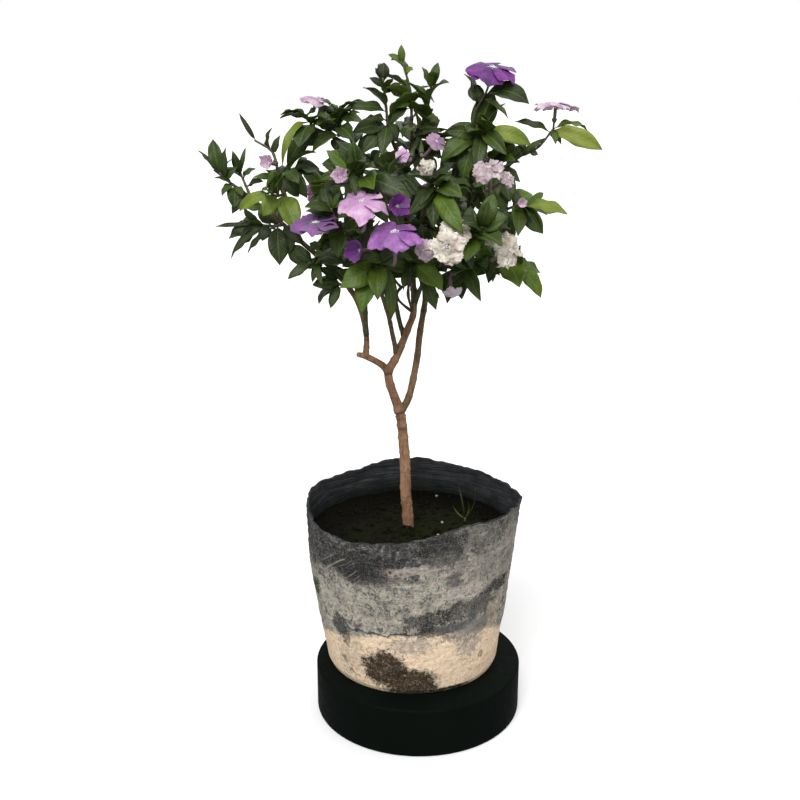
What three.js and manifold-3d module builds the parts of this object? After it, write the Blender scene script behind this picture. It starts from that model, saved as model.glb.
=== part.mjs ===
// A small flowering shrub, trained as a little tree, in a weathered grow bag on a round black stand.
// Lengths are in millimetres, +Z is up, and the origin is the middle of the stand's underside.

import * as THREE from 'three';
import { mergeVertices } from 'three/addons/utils/BufferGeometryUtils.js';
import Module from 'manifold-3d';

const wasm = await Module();
wasm.setup();

// Driving dimensions
const STAND_RADIUS = 90;
const STAND_HEIGHT = 43.6;
const STAND_EDGE = 2;
const STAND_SIDES = 36;
const GAP = 0.3;
const BAG_CENTRE = [-5, 9];
const BAG_BASE_RADIUS = 75;
const BAG_RIM_RADIUS = 92.5;
const BAG_WALL = 2.5;
const BAG_RIM_HEIGHTS = [190.5, 190, 191, 195.5, 190, 190, 188.5, 186, 183.5, 191, 198.5, 197];
const BAG_SIDES = 32;
const SOIL_HEIGHT = 164;
const SOIL_SHARE = 0.82;
const HOLE_HEADROOM = 20;
const POST_SIDES = 12;
const WEED_FOOT = [41, 26, 150];
const WEED_STEM = 1.2;
const WEED_BLADE_WIDTH = 3.4;
const WEED_BLADE_ARCH = 0.1;
const WEED_TIPS = [[35, 30, 197], [51, 27, 194], [44, 19, 184], [30, 24, 178]];
const LIMB_STEP = 18;
const SIDES_BY_GIRTH = [[4, 10], [2, 7], [0, 5]];
const STEM_THICK = 1.3;
const STEM_STEP = 12;
const STEM_THIN = 0.8;
const BLADE_THICKNESS = 1.1;
const BLADE_FOLD = 0.12;
const ROOT_WIDTH = 1;
const BLADE_WIDTH_TO_LENGTH = 0.42;
const BLADE_STATIONS = [0.28, 0.56, 0.82];
const BLADE_WIDTHS = [0.84, 1, 0.6];
const LEAST_ARCH = 0.07;
const ARCH_RANGE = 0.09;
const SHORT_BLADE = 27;
const SHORT_STATIONS = [0.35, 0.7];
const SHORT_WIDTHS = [1, 0.76];
const CALYX_LENGTH = 7;
const CALYX_RADIUS = 2;
const CALYX_PLACE = 0.56;
const TUBE_RADIUS = 1.3;
const STALK_RADIUS = 0.8;
const LOBES = 5;
const PETAL_THICKNESS = 0.9;
const THROAT = 0.3;
// Round one lobe from its notch: share of the turn, reach and step, as shares of the radius
const LOBE_RIM = [
  [0, 0.6, 0],
  [0.14, 0.9, 0.09],
  [0.38, 1, 0.03],
  [0.62, 1, -0.03],
  [0.86, 0.9, -0.09],
];
const SLIVER = 0.05;
const GOLDEN_TURN = Math.PI * (3 - Math.sqrt(5));
const LEAF_CLEARANCE = 0.7;
const LEAF_TRIES = 12;
const LEAF_SWING = 0.09;
const LEAF_SHRINK = 0.03;

// The woody limbs, each a smooth run of points from its parent outwards, with its two radii
const LIMBS = {
  trunk: { thick: 5.0, thin: 4.0, points: [[-9, 8, 82], [-9, 8, 164], [-11, 8, 194], [-12, 8, 227],
    [-14, 6, 254], [-16, 4, 271]] },
  left_stem: { thick: 3.7, thin: 3.4, points: [[-16, 4, 271], [-21, 4, 285], [-25, 3, 298],
    [-26, 2, 307]] },
  leader: { thick: 3.4, thin: 1.2, points: [[-26, 2, 307], [-19, 2, 319], [-14, 4, 331], [-9, 4, 344],
    [-5, 4, 356], [-5, 4, 375], [-7, 2, 400], [-10, 0, 424], [-11, 0, 448], [-10, 0, 470],
    [-7, 0, 490], [-7, 0, 508]] },
  right_stem: { thick: 2.4, thin: 1.3, points: [[-16, 4, 271], [-10, 6, 280], [-6, 8, 294],
    [-2, 10, 316], [0, 12, 335], [3, 14, 354], [7, 18, 374], [17, 22, 393], [29, 22, 414],
    [40, 18, 436], [48, 12, 456]] },
  low_left: { thick: 2.2, thin: 1.6, points: [[-26, 2, 307], [-32, -2, 314], [-44, -8, 322],
    [-50, -10, 324]] },
  left_limb: { thick: 1.8, thin: 1.1, points: [[-44, -8, 322], [-43, -10, 336], [-45, -14, 354],
    [-51, -20, 373], [-62, -28, 391], [-76, -34, 406], [-92, -36, 421], [-107, -34, 435],
    [-125, -28, 448], [-141, -20, 459]] },
  left_front: { thick: 1.4, thin: 1.1, points: [[-43, -12, 341], [-43, -22, 362], [-42, -38, 383],
    [-39, -55, 403]] },
  front_left: { thick: 1.5, thin: 1.1, points: [[-19, 2, 323], [-22, -6, 340], [-25, -16, 358],
    [-29, -28, 375], [-35, -45, 396], [-45, -58, 418], [-56, -66, 432]] },
  back_left: { thick: 1.5, thin: 1.1, points: [[-13, 4, 337], [-17, 12, 348], [-20, 22, 361],
    [-23, 34, 373], [-34, 48, 390], [-49, 60, 411], [-64, 66, 431]] },
  front_right: { thick: 1.4, thin: 1.1, points: [[-5, 4, 366], [4, -20, 386], [14, -40, 402],
    [24, -55, 416], [36, -62, 427]] },
  front_mid: { thick: 1.4, thin: 1.1, points: [[-7, 2, 401], [-2, -20, 423], [3, -38, 446],
    [6, -50, 466]] },
  front_up: { thick: 1.4, thin: 1.1, points: [[-10, 0, 424], [-19, -28, 445], [-28, -52, 461],
    [-38, -66, 470]] },
  right_low: { thick: 1.4, thin: 1.1, points: [[7, 18, 376], [25, 12, 388], [44, 2, 398], [62, -10, 406]] },
  right_mid: { thick: 1.4, thin: 1.1, points: [[26, 22, 409], [46, 8, 426], [67, -6, 441]] },
  back_right: { thick: 1.5, thin: 1.1, points: [[7, 18, 376], [17, 44, 391], [27, 66, 409],
    [36, 80, 430]] },
  back: { thick: 1.5, thin: 1.1, points: [[-5, 4, 375], [-10, 36, 392], [-15, 64, 413], [-19, 84, 438]] },
  left_up: { thick: 1.3, thin: 1.0, points: [[-92, -36, 421], [-98, -42, 441], [-103, -42, 460],
    [-108, -36, 476]] },
  upper_left: { thick: 1.4, thin: 1.0, points: [[-10, 0, 444], [-27, -10, 469], [-46, -18, 486],
    [-65, -22, 497], [-82, -24, 505]] },
  up_left: { thick: 1.3, thin: 1.0, points: [[-10, 0, 470], [-19, -4, 487], [-25, -6, 502]] },
  f1_limb: { thick: 1.3, thin: 1.0, points: [[39, 18, 433], [40, 8, 461], [41, 0, 487], [41, -4, 504]] },
  f2_limb: { thick: 1.3, thin: 1.0, points: [[48, 12, 456], [63, 8, 469], [74, 4, 480]] },
};

// The green shoots. Each leaves a limb at a place along it, passes its bend and stops at its end.
// A leaf in the list has its place on the stem, its tip, its width and, where it is strongly bent,
// the height of its arch as a share of its length. The other leaves follow the rule.
const SHOOTS = [
  { name: 'far_left', limb: 'left_limb', from: 1.0, more: 2, size: 24,
    bend: [-148, -20, 464], end: [-159, -20, 473],
    leaves: [[0.95, [-170, -22, 488], 4], [0.8, [-159, -18, 496], 10], [0.6, [-148, -27, 490], 8],
      [0.3, [-151, -36, 455], 7], [0.1, [-143, -32, 445], 11]] },
  { name: 'left_tall', limb: 'left_limb', from: 0.92, more: 2, size: 24,
    bend: [-136, -12, 460], end: [-141, -6, 470],
    leaves: [[0.9, [-145, -14, 487], 7], [0.97, [-136, -6, 489], 4], [0.7, [-128, -10, 473], 7],
      [0.15, [-151, -22, 455], 10]] },
  { name: 'wisp', limb: 'left_up', from: 1.0, more: 1, size: 18,
    bend: [-112, -34, 488], end: [-125, -32, 496],
    leaves: [[0.95, [-136, -32, 516], 4], [0.7, [-116, -24, 496], 3], [0.4, [-105, -40, 500], 6]] },
  { name: 'bright_left', limb: 'left_up', from: 0.61, more: 0, size: 26,
    bend: [-108, -52, 457], end: [-113, -58, 462],
    leaves: [[0.12, [-91, -66, 433], 14], [0.9, [-108, -62, 477], 6], [0.97, [-119, -50, 460], 6],
      [0.6, [-136, -48, 445], 10], [0.8, [-99, -60, 475], 6], [0.4, [-116, -66, 444], 11]] },
  { name: 'left_dark', limb: 'left_limb', from: 0.76, more: 2, size: 34,
    bend: [-114, -28, 431], end: [-126, -20, 431],
    leaves: [[0.97, [-162, -12, 428], 4], [0.85, [-151, -14, 419], 10], [0.65, [-149, -22, 405], 8],
      [0.5, [-134, -30, 410], 7], [0.2, [-93, -46, 401], 15], [0.9, [-144, 2, 431], 9],
      [0.6, [-122, -32, 420], 9]] },
  { name: 'left_low', limb: 'left_limb', from: 0.56, more: 1, size: 30,
    bend: [-80, -40, 405], end: [-85, -44, 405],
    leaves: [[0.8, [-101, -50, 394], 8], [0.4, [-74, -58, 391], 7], [0.2, [-57, -58, 408], 11]] },
  { name: 'low_left', limb: 'left_limb', from: 0.41, more: 1, size: 26,
    bend: [-60, -32, 386], end: [-63, -38, 388],
    leaves: [[0.5, [-83, -40, 388], 10], [0.95, [-69, -46, 370], 8]] },
  { name: 'front_low', limb: 'left_front', from: 1.0, more: 1, size: 34,
    bend: [-34, -62, 406], end: [-25, -68, 409],
    leaves: [[0.6, [-59, -80, 393], 14], [0.3, [-43, -84, 375], 14], [0.75, [-31, -88, 386], 12],
      [0.97, [-21, -74, 368], 9], [0.9, [-49, -88, 414], 10]] },
  { name: 'upper_left', limb: 'upper_left', from: 1.0, more: 1, size: 30,
    bend: [-83, -27, 509], end: [-86, -30, 514],
    leaves: [[0.5, [-103, -46, 478], 10, 0.3], [0.95, [-99, -24, 516], 8], [0.2, [-90, -52, 492], 14],
      [0.8, [-95, -44, 503], 8, 0.2]] },
  { name: 'upper_mid', limb: 'upper_left', from: 0.7, more: 2, size: 32,
    bend: [-63, -24, 506], end: [-61, -26, 516],
    leaves: [[0.6, [-77, -44, 508], 10], [0.8, [-43, -42, 511], 8], [0.4, [-49, -52, 498], 10],
      [0.95, [-72, -10, 520], 8], [0.05, [-81, -38, 488], 10, 0.2]] },
  { name: 'left_inner', limb: 'left_up', from: 0.84, more: 1, size: 28,
    bend: [-101, -32, 473], end: [-94, -24, 475],
    leaves: [[0.7, [-77, -20, 474], 10], [0.95, [-88, -12, 482], 7], [0.4, [-90, -48, 465], 9],
      [0.6, [-102, -40, 455], 10], [0.75, [-86, -34, 453], 9]] },
  { name: 'mid_left', limb: 'front_left', from: 1.0, more: 1, size: 28,
    bend: [-60, -72, 440], end: [-65, -76, 451],
    leaves: [[0.95, [-72, -76, 469], 6], [0.9, [-60, -86, 465], 6], [0.5, [-51, -96, 448], 9],
      [0.3, [-66, -88, 433], 8], [0.1, [-60, -78, 415], 11]] },
  { name: 'centre_left', limb: 'front_up', from: 1.0, more: 2, size: 34,
    bend: [-44, -76, 474], end: [-50, -84, 478],
    leaves: [[0.25, [-6, -92, 461], 12], [0.6, [-73, -80, 472], 9], [0.5, [-32, -98, 483], 10],
      [0.9, [-50, -104, 467], 8], [0.05, [-23, -86, 441], 11]] },
  { name: 'centre', limb: 'front_mid', from: 1.0, more: 2, size: 36,
    bend: [9, -60, 465], end: [13, -68, 462],
    leaves: [[0.9, [31, -96, 435], 11], [0.3, [0, -86, 455], 10], [0.5, [20, -84, 478], 10],
      [0.6, [-9, -92, 448], 9], [0.8, [30, -86, 461], 11], [0.2, [10, -80, 437], 11]] },
  { name: 'centre_low', limb: 'front_right', from: 0.32, more: 2, size: 30,
    bend: [0, -46, 400], end: [-7, -62, 409],
    leaves: [[0.9, [17, -80, 391], 14], [0.3, [13, -46, 369], 9], [0.7, [-23, -96, 422], 9],
      [0.95, [-12, -84, 392], 8], [0.5, [-23, -54, 396], 9]] },
  { name: 'low_right_a', limb: 'right_low', from: 0.67, more: 2, size: 34,
    bend: [39, -10, 397], end: [33, -22, 396],
    leaves: [[0.8, [47, -42, 376], 10], [0.5, [21, -20, 381], 10], [0.95, [20, -56, 408], 10]] },
  { name: 'low_right_b', limb: 'right_low', from: 1.0, more: 1, size: 32,
    bend: [67, -20, 404], end: [74, -28, 402],
    leaves: [[0.5, [76, -50, 388], 17], [0.95, [95, -30, 376], 11], [0.9, [96, -14, 393], 10],
      [0.25, [53, -34, 388], 10], [0.1, [44, -20, 391], 10]] },
  { name: 'mid_right_front', limb: 'front_right', from: 1.0, more: 1, size: 34,
    bend: [41, -70, 432], end: [46, -76, 438],
    leaves: [[0.5, [59, -94, 427], 14], [0.25, [33, -92, 415], 14], [0.85, [63, -80, 446], 14],
      [0.95, [49, -86, 458], 10], [0.1, [37, -62, 451], 11]] },
  { name: 'right_mid', limb: 'right_mid', from: 1.0, more: 1, size: 34,
    bend: [74, -9, 444], end: [83, -12, 445],
    leaves: [[0.97, [115, -14, 439], 10], [0.7, [96, -18, 424], 11], [0.35, [88, 0, 453], 14],
      [0.9, [98, 6, 453], 6], [0.5, [75, -36, 425], 10], [0.1, [51, -18, 459], 14]] },
  { name: 'right_upper', limb: 'f2_limb', from: 0.5, more: 1, size: 34,
    bend: [57, -4, 473], end: [51, -12, 480],
    leaves: [[0.5, [72, -24, 481], 14], [0.95, [36, -28, 489], 10], [0.3, [78, -6, 463], 10],
      [0.15, [71, -14, 447], 14], [0.4, [53, -32, 446], 13]] },
  { name: 'f2_stalk', limb: 'f2_limb', from: 1.0, more: 0, size: 30,
    bend: [91, 2, 488], end: [103, 0, 503],
    leaves: [[0.93, [141, -6, 488], 12, 0.14], [0.99, [131, 6, 501], 8, 0.2],
      [0.9, [73, 4, 508], 6, 0.16], [0.96, [104, -10, 492], 6], [0.25, [72, 4, 496], 5],
      [0.3, [92, 2, 483], 5]] },
  { name: 'right_arc', limb: 'f1_limb', from: 0.85, more: 0, size: 34,
    bend: [46, -8, 499], end: [51, -12, 500],
    leaves: [[0.8, [85, -14, 491], 11, 0.24], [0.3, [19, -12, 502], 12], [0.6, [65, -34, 486], 11],
      [0.2, [15, -22, 479], 14], [0.1, [30, -26, 466], 14], [0.4, [42, -34, 474], 10]] },
  { name: 'f1_stalk', limb: 'f1_limb', from: 1.0, more: 0, size: 30,
    bend: [42, -7, 516], end: [50, -10, 531],
    leaves: [[0.9, [82, -16, 523], 14, 0.2], [0.7, [39, -2, 536], 10], [0.8, [66, -26, 512], 6]] },
  { name: 'top_centre', limb: 'leader', from: 1.0, more: 2, size: 22,
    bend: [-8, 0, 530], end: [-14, 0, 552],
    leaves: [[0.98, [-15, 0, 565], 6], [0.94, [-25, 3, 558], 6], [0.85, [-6, -4, 547], 6],
      [0.35, [-21, -8, 519], 9], [0.6, [-18, 6, 538], 6]] },
  { name: 'top_left', limb: 'up_left', from: 1.0, more: 2, size: 26,
    bend: [-27, -7, 523], end: [-29, -8, 541],
    leaves: [[0.97, [-28, -8, 552], 9], [0.9, [-35, -2, 548], 6], [0.8, [-39, -12, 541], 6],
      [0.65, [-15, -4, 537], 7], [0.3, [-59, -18, 518], 9, 0.16], [0.12, [-43, -30, 511], 7],
      [0.03, [-52, -26, 501], 11], [0.01, [-44, -30, 487], 11], [0.06, [-29, -34, 485], 10]] },
  { name: 'top_right', limb: 'leader', from: 0.93, more: 1, size: 26,
    bend: [4, -5, 514], end: [8, -7, 536],
    leaves: [[0.98, [13, -7, 552], 8], [0.92, [1, -3, 549], 6], [0.7, [-6, -10, 536], 6],
      [0.75, [10, -2, 523], 7], [0.4, [14, -10, 507], 8], [0.3, [-2, -22, 516], 10],
      [0.1, [-14, -24, 499], 10]] },
  { name: 'back_left_a', limb: 'back_left', from: 1.0, more: 8, size: 44,
    bend: [-70, 74, 437], end: [-79, 80, 441], leaves: [] },
  { name: 'back_left_b', limb: 'back_left', from: 0.74, more: 7, size: 42,
    bend: [-58, 60, 398], end: [-77, 62, 401],
    leaves: [[0.1, [-32, 44, 365], 12]] },
  { name: 'back_a', limb: 'back', from: 1.0, more: 8, size: 44,
    bend: [-23, 90, 449], end: [-30, 88, 465], leaves: [] },
  { name: 'back_b', limb: 'back', from: 0.6, more: 8, size: 46,
    bend: [-9, 84, 415], end: [0, 98, 424], leaves: [] },
  { name: 'back_right_a', limb: 'back_right', from: 1.0, more: 8, size: 44,
    bend: [41, 82, 438], end: [51, 78, 449], leaves: [] },
  { name: 'back_right_b', limb: 'back_right', from: 0.61, more: 8, size: 44,
    bend: [43, 62, 407], end: [62, 54, 411], leaves: [] },
  { name: 'back_top', limb: 'leader', from: 0.88, more: 8, size: 38,
    bend: [-4, 20, 485], end: [6, 40, 490], leaves: [] },
];

// The blooms. Each stands on a stalk that leaves its shoot at a place along the stem.
const BLOOMS = [
  { name: 'bloom_top_purple', shoot: 'f1_stalk', place: 0.99, centre: [54, -12, 549],
    face: [0.08, -0.38, 0.92], radius: 20.5, colour: 'petal_purple', form: 'arched' },
  { name: 'bloom_right_pale', shoot: 'f2_stalk', place: 0.99, centre: [105, 0, 520],
    face: [0.02, -0.18, 0.98], radius: 18.5, colour: 'petal_pale', form: 'open' },
  { name: 'bloom_upper_left', shoot: 'upper_left', place: 0.97, centre: [-79, -26, 527],
    face: [0.1, -0.1, 0.98], radius: 11, colour: 'petal_pale', form: 'open' },
  { name: 'bloom_right_white', shoot: 'right_upper', place: 0.6, centre: [50, -58, 479],
    face: [-0.1, -0.45, 0.88], radius: 14.5, colour: 'petal_fading', form: 'arched' },
  { name: 'bloom_centre_pink', shoot: 'mid_left', place: 0.1, centre: [-41, -104, 460],
    face: [-0.05, -0.42, 0.9], radius: 19.5, colour: 'petal_lilac', form: 'arched' },
  { name: 'bloom_half_open', shoot: 'centre_left', place: 0.3, centre: [-16, -104, 456],
    face: [0.25, -0.9, 0.2], radius: 10.5, colour: 'petal_purple', form: 'cup' },
  { name: 'bloom_centre_lilac', shoot: 'front_low', place: 0.9, centre: [-18, -108, 439],
    face: [0.0, -0.42, 0.9], radius: 22, colour: 'petal_violet', form: 'arched' },
  { name: 'bloom_left_side', shoot: 'mid_left', place: 0.6, centre: [-74, -84, 442],
    face: [-0.62, -0.45, 0.62], radius: 16, colour: 'petal_purple', form: 'open' },
  { name: 'bloom_white_front', shoot: 'centre_low', place: 0.85, centre: [19, -112, 429],
    face: [0.05, -0.97, 0.15], radius: 16, colour: 'petal_white', form: 'open' },
  { name: 'bloom_white_upper', shoot: 'mid_right_front', place: 0.6, centre: [27, -90, 437],
    face: [0.3, -0.8, 0.5], radius: 14, colour: 'petal_white', form: 'open' },
  { name: 'bloom_white_drooping', shoot: 'low_right_b', place: 0.3, centre: [67, -70, 420],
    face: [0.45, -0.8, 0.4], radius: 17, colour: 'petal_white', form: 'droop' },
  { name: 'bloom_white_hanging', shoot: 'centre', place: 0.2, centre: [3, -88, 483],
    face: [0.1, -0.85, -0.2], radius: 10.5, colour: 'petal_white', form: 'droop' },
  { name: 'bloom_small_left', shoot: 'centre_left', place: 0.99, centre: [-55, -112, 477],
    face: [-0.1, -0.9, 0.3], radius: 8, colour: 'petal_pale', form: 'cup' },
  { name: 'bloom_far_left', shoot: 'wisp', place: 0.3, centre: [-112, -50, 481],
    face: [-0.4, -0.8, 0.2], radius: 7.5, colour: 'petal_pale', form: 'cup' },
  { name: 'bloom_behind_lilac', shoot: 'top_right', place: 0.15, centre: [12, -40, 496],
    face: [0.5, -0.6, 0.6], radius: 11, colour: 'petal_lilac', form: 'open' },
  { name: 'bloom_bud_right', shoot: 'right_mid', place: 0.7, centre: [76, -46, 451],
    face: [0.1, -0.95, 0.2], radius: 5, colour: 'petal_pale', form: 'cup' },
  { name: 'bloom_low_right', shoot: 'low_right_a', place: 0.9, centre: [25, -50, 381],
    face: [0.1, -0.6, -0.75], radius: 9, colour: 'petal_violet', form: 'droop' },
  { name: 'bloom_under_lilac', shoot: 'centre_low', place: 0.95, centre: [3, -98, 424],
    face: [-0.3, -0.9, 0.1], radius: 10, colour: 'petal_fading', form: 'droop' },
  { name: 'bloom_low_purple', shoot: 'front_low', place: 0.3, centre: [-44, -82, 421],
    face: [-0.5, -0.8, 0.1], radius: 11, colour: 'petal_purple', form: 'cup' },
  { name: 'bloom_back_violet', shoot: 'back_b', place: 0.98, centre: [3, 118, 434],
    face: [0.15, 0.85, 0.45], radius: 20, colour: 'petal_violet', form: 'open' },
  { name: 'bloom_back_pale', shoot: 'back_left_a', place: 0.98, centre: [-86, 94, 448],
    face: [-0.5, 0.7, 0.5], radius: 18, colour: 'petal_lilac', form: 'open' },
  { name: 'bloom_back_white', shoot: 'back_right_b', place: 0.98, centre: [70, 66, 418],
    face: [0.7, 0.6, 0.35], radius: 17, colour: 'petal_white', form: 'open' },
];

// How the five lobes of each form stand: their bend out of the flat and their spread
const FORMS = {
  open: { bend: -0.06, spread: 1 },
  droop: { bend: -0.42, spread: 0.94 },
  arched: { bend: -0.22, spread: 0.98 },
  cup: { bend: 0.95, spread: 0.8 },
};

const vector = (values) => new THREE.Vector3(...values);

// Leaves set by hand look forwards and up, and the others look outwards from the crown's middle
const FRONT_LOOK = vector([0, -0.8, 0.6]);
const CROWN_CENTRE = vector([-10, 0, 420]);

// A repeatable draw between 0 and 1 for any list of whole numbers
function draw(...keys) {
  let state = 2166136261;
  for (const key of keys) {
    state = Math.imul(state ^ (key + 1), 16777619);
    state ^= state >>> 13;
  }
  state = Math.imul(state ^ (state >>> 15), 2246822507);
  state ^= state >>> 13;
  return (state >>> 0) / 4294967296;
}

function solidFrom(positions, triangles) {
  const mesh = new wasm.Mesh({
    numProp: 3,
    vertProperties: new Float32Array(positions),
    triVerts: new Uint32Array(triangles),
  });
  return new wasm.Manifold(mesh);
}

function solidOfGeometry(geometry) {
  const bare = geometry.clone();
  bare.deleteAttribute('normal');
  bare.deleteAttribute('uv');
  const merged = mergeVertices(bare, 1e-4);
  return solidFrom(merged.attributes.position.array, merged.index.array);
}

function geometryOfSolid(solid) {
  const mesh = solid.getMesh();
  const geometry = new THREE.BufferGeometry();
  const positions = new Float32Array(mesh.numVert * 3);
  for (let i = 0; i < mesh.numVert; i += 1) {
    for (let k = 0; k < 3; k += 1) {
      positions[3 * i + k] = mesh.vertProperties[i * mesh.numProp + k];
    }
  }
  geometry.setAttribute('position', new THREE.BufferAttribute(positions, 3));
  geometry.setIndex(new THREE.BufferAttribute(new Uint32Array(mesh.triVerts), 1));
  geometry.computeVertexNormals();
  return geometry;
}

// A smooth curve through points, evenly timed from point to point
function curveThrough(points) {
  return new THREE.CatmullRomCurve3(points, false, 'catmullrom', 0.5);
}

// Closed rings of equal count joined into one skin, with a fan at each end. Past the ring turnAt
// the rings run back, as down the inside of a bag, so the diagonals swap to match the way there.
function loft(rings, { lastCentre = null, turnAt = Infinity } = {}) {
  const count = rings[0].length;
  const positions = rings.flat().flatMap((p) => [p.x, p.y, p.z]);
  const triangles = [];
  for (let i = 0; i < rings.length - 1; i += 1) {
    for (let j = 0; j < count; j += 1) {
      const next = (j + 1) % count;
      const [a, b] = [i * count + j, i * count + next];
      const [c, d] = [a + count, b + count];
      const even = (j + (i >= turnAt ? 1 : 0)) % 2 === 0;
      if (even) triangles.push(a, b, d, a, d, c);
      else triangles.push(a, b, c, b, d, c);
    }
  }
  const first = rings[0];
  const last = rings.length - 1;
  const centreOf = (ring) => ring.reduce((sum, p) => sum.add(p), new THREE.Vector3())
    .divideScalar(ring.length);
  const ends = [
    [centreOf(first), 0, false],
    [lastCentre ?? centreOf(rings[last]), last, true],
  ];
  for (const [centre, ring, outward] of ends) {
    const hub = positions.length / 3;
    positions.push(centre.x, centre.y, centre.z);
    for (let j = 0; j < count; j += 1) {
      const [a, b] = [ring * count + j, ring * count + ((j + 1) % count)];
      triangles.push(...(outward ? [hub, a, b] : [hub, b, a]));
    }
  }
  return solidFrom(positions, triangles);
}

// A round stem along a curve, from a list of places on it with the radius at each
function stemSolid(curve, rings, sides = 5) {
  let across = new THREE.Vector3(1, 0, 0);
  return loft(rings.map(([t, radius]) => {
    const centre = curve.getPoint(t);
    const along = curve.getTangent(t);
    if (Math.abs(across.dot(along)) > 0.9) across = new THREE.Vector3(0, 1, 0);
    across = across.clone().addScaledVector(along, -across.dot(along)).normalize();
    const other = along.clone().cross(across);
    return Array.from({ length: sides }, (_, j) => {
      const angle = (2 * Math.PI * j) / sides;
      return centre.clone()
        .addScaledVector(across, radius * Math.cos(angle))
        .addScaledVector(other, radius * Math.sin(angle));
    });
  }));
}

// Even rings along a stretch of a curve, tapered from one radius to the other
function taper(curve, thick, thin, step, start = 0) {
  const steps = Math.max(1, Math.round((curve.getLength() * (1 - start)) / step));
  return Array.from({ length: steps + 1 }, (_, i) => [
    THREE.MathUtils.lerp(start, 1, i / steps),
    THREE.MathUtils.lerp(thick, thin, i / steps),
  ]);
}

// The direction that a blade's upper face looks along, square to its length
function bladeUp(along, look, roll) {
  const up = look.clone().addScaledVector(along, -look.dot(along));
  return up.normalize().applyAxisAngle(along, roll);
}

// An arched and waved leaf blade with a keel beneath, from its root on the stem to its tip
function bladeSolid({ root, tip, width, look, arch, roll, wave }, guard = 0) {
  const chord = tip.clone().sub(root);
  const length = chord.length();
  const along = chord.clone().normalize();
  const up = bladeUp(along, look, roll);
  const side = along.clone().cross(up);
  const ring = (u, half, keel, lift) => {
    const face = up.clone().addScaledVector(along, -4 * arch * (1 - 2 * u)).normalize();
    const centre = root.clone()
      .addScaledVector(chord, u)
      .addScaledVector(up, 4 * arch * length * u * (1 - u));
    return [
      centre.clone().addScaledVector(side, half + guard).addScaledVector(face, lift + guard),
      centre.clone().addScaledVector(face, -keel - guard),
      centre.clone().addScaledVector(side, -half - guard).addScaledVector(face, lift + guard),
    ];
  };
  const rings = [ring(0, ROOT_WIDTH / 2, ROOT_WIDTH / 2, ROOT_WIDTH / 4)];
  const [stations, widths] = length < SHORT_BLADE
    ? [SHORT_STATIONS, SHORT_WIDTHS]
    : [BLADE_STATIONS, BLADE_WIDTHS];
  stations.forEach((u, i) => {
    const half = (width / 2) * widths[i];
    const ripple = wave * length * (i % 2 === 0 ? 1 : -1);
    rings.push(ring(u, half, BLADE_THICKNESS - half * BLADE_FOLD, half * BLADE_FOLD + ripple));
  });
  return loft(rings, { lastCentre: tip.clone().addScaledVector(along, guard) });
}

// The stem of a shoot: its curve, where it starts clear of its limb, and places along it
function stemOf(shoot) {
  const { points, thick, thin } = LIMBS[shoot.limb];
  const limb = curveThrough(points.map(vector));
  const foot = limb.getPoint(shoot.from);
  const [bend, end] = [vector(shoot.bend), vector(shoot.end)];
  const curve = curveThrough([foot, bend, end]);
  const lean = limb.getTangent(shoot.from).angleTo(curve.getTangent(0));
  const bark = THREE.MathUtils.lerp(thick, thin, shoot.from);
  const clear = shoot.from === 1
    ? STEM_THICK * Math.tan(lean / 2) + GAP
    : (bark + STEM_THICK * Math.cos(lean)) / Math.max(Math.sin(lean), 0.3);
  const start = (clear + 2 * GAP) / (foot.distanceTo(bend) + bend.distanceTo(end));
  return { curve, start, at: (place) => start + (1 - start) * place };
}

// The leaves of one shoot: those set by hand, then those that follow the rule
function leavesOf(shoot, shootIndex) {
  const { curve, at } = stemOf(shoot);
  const placed = shoot.leaves.map(([place, tip, width, arch], k) => ({
    root: curve.getPoint(at(place)),
    tip: vector(tip),
    width,
    arch: arch ?? LEAST_ARCH + ARCH_RANGE * draw(shootIndex, k, 3),
    look: FRONT_LOOK,
    key: [shootIndex, k],
  }));
  for (let k = 0; k < shoot.more; k += 1) {
    const key = [shootIndex, 100 + k];
    const place = 0.08 + (0.92 * (k + 0.5)) / shoot.more;
    const root = curve.getPoint(at(place));
    const along = curve.getTangent(at(place));
    const side = new THREE.Vector3(along.y, -along.x, 0);
    if (side.length() < 0.2) side.set(1, 0, 0);
    side.addScaledVector(along, -side.dot(along)).normalize();
    const above = side.clone().cross(along);
    const turn = GOLDEN_TURN * k + 2 * Math.PI * draw(...key, 1);
    const heading = along.clone().multiplyScalar(0.5)
      .addScaledVector(side, 0.95 * Math.cos(turn))
      .addScaledVector(above, 0.6 * Math.sin(turn));
    heading.z += 0.1;
    heading.normalize();
    const length = shoot.size * (0.8 + 0.4 * draw(...key, 2)) * (1 - 0.3 * place);
    const tip = root.clone().addScaledVector(heading, length);
    const look = root.clone().sub(CROWN_CENTRE).normalize();
    look.z += 0.8;
    const arch = LEAST_ARCH + ARCH_RANGE * draw(...key, 3);
    placed.push({ root, tip, width: length * BLADE_WIDTH_TO_LENGTH, arch, look, key });
  }
  return placed;
}

// One try at a leaf: the first is as set, and each later one turns and shortens it further
function leafTry({ root, tip, width, arch, look, key }, attempt) {
  const chord = tip.clone().sub(root);
  const length = chord.length();
  const turned = chord.clone().divideScalar(length);
  const swing = LEAF_SWING * attempt;
  turned.x += swing * (2 * draw(...key, 10 + attempt, 0) - 1);
  turned.y += swing * (2 * draw(...key, 10 + attempt, 1) - 1);
  turned.z += swing * (2 * draw(...key, 10 + attempt, 2) - 1);
  turned.normalize();
  const reach = length * (1 - LEAF_SHRINK * attempt);
  return {
    root,
    tip: root.clone().addScaledVector(turned, reach),
    width: width * (1 - LEAF_SHRINK * attempt),
    look,
    arch,
    roll: 0.7 * (draw(...key, 4) - 0.5),
    wave: 0.012 + 0.014 * draw(...key, 5),
  };
}

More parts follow.
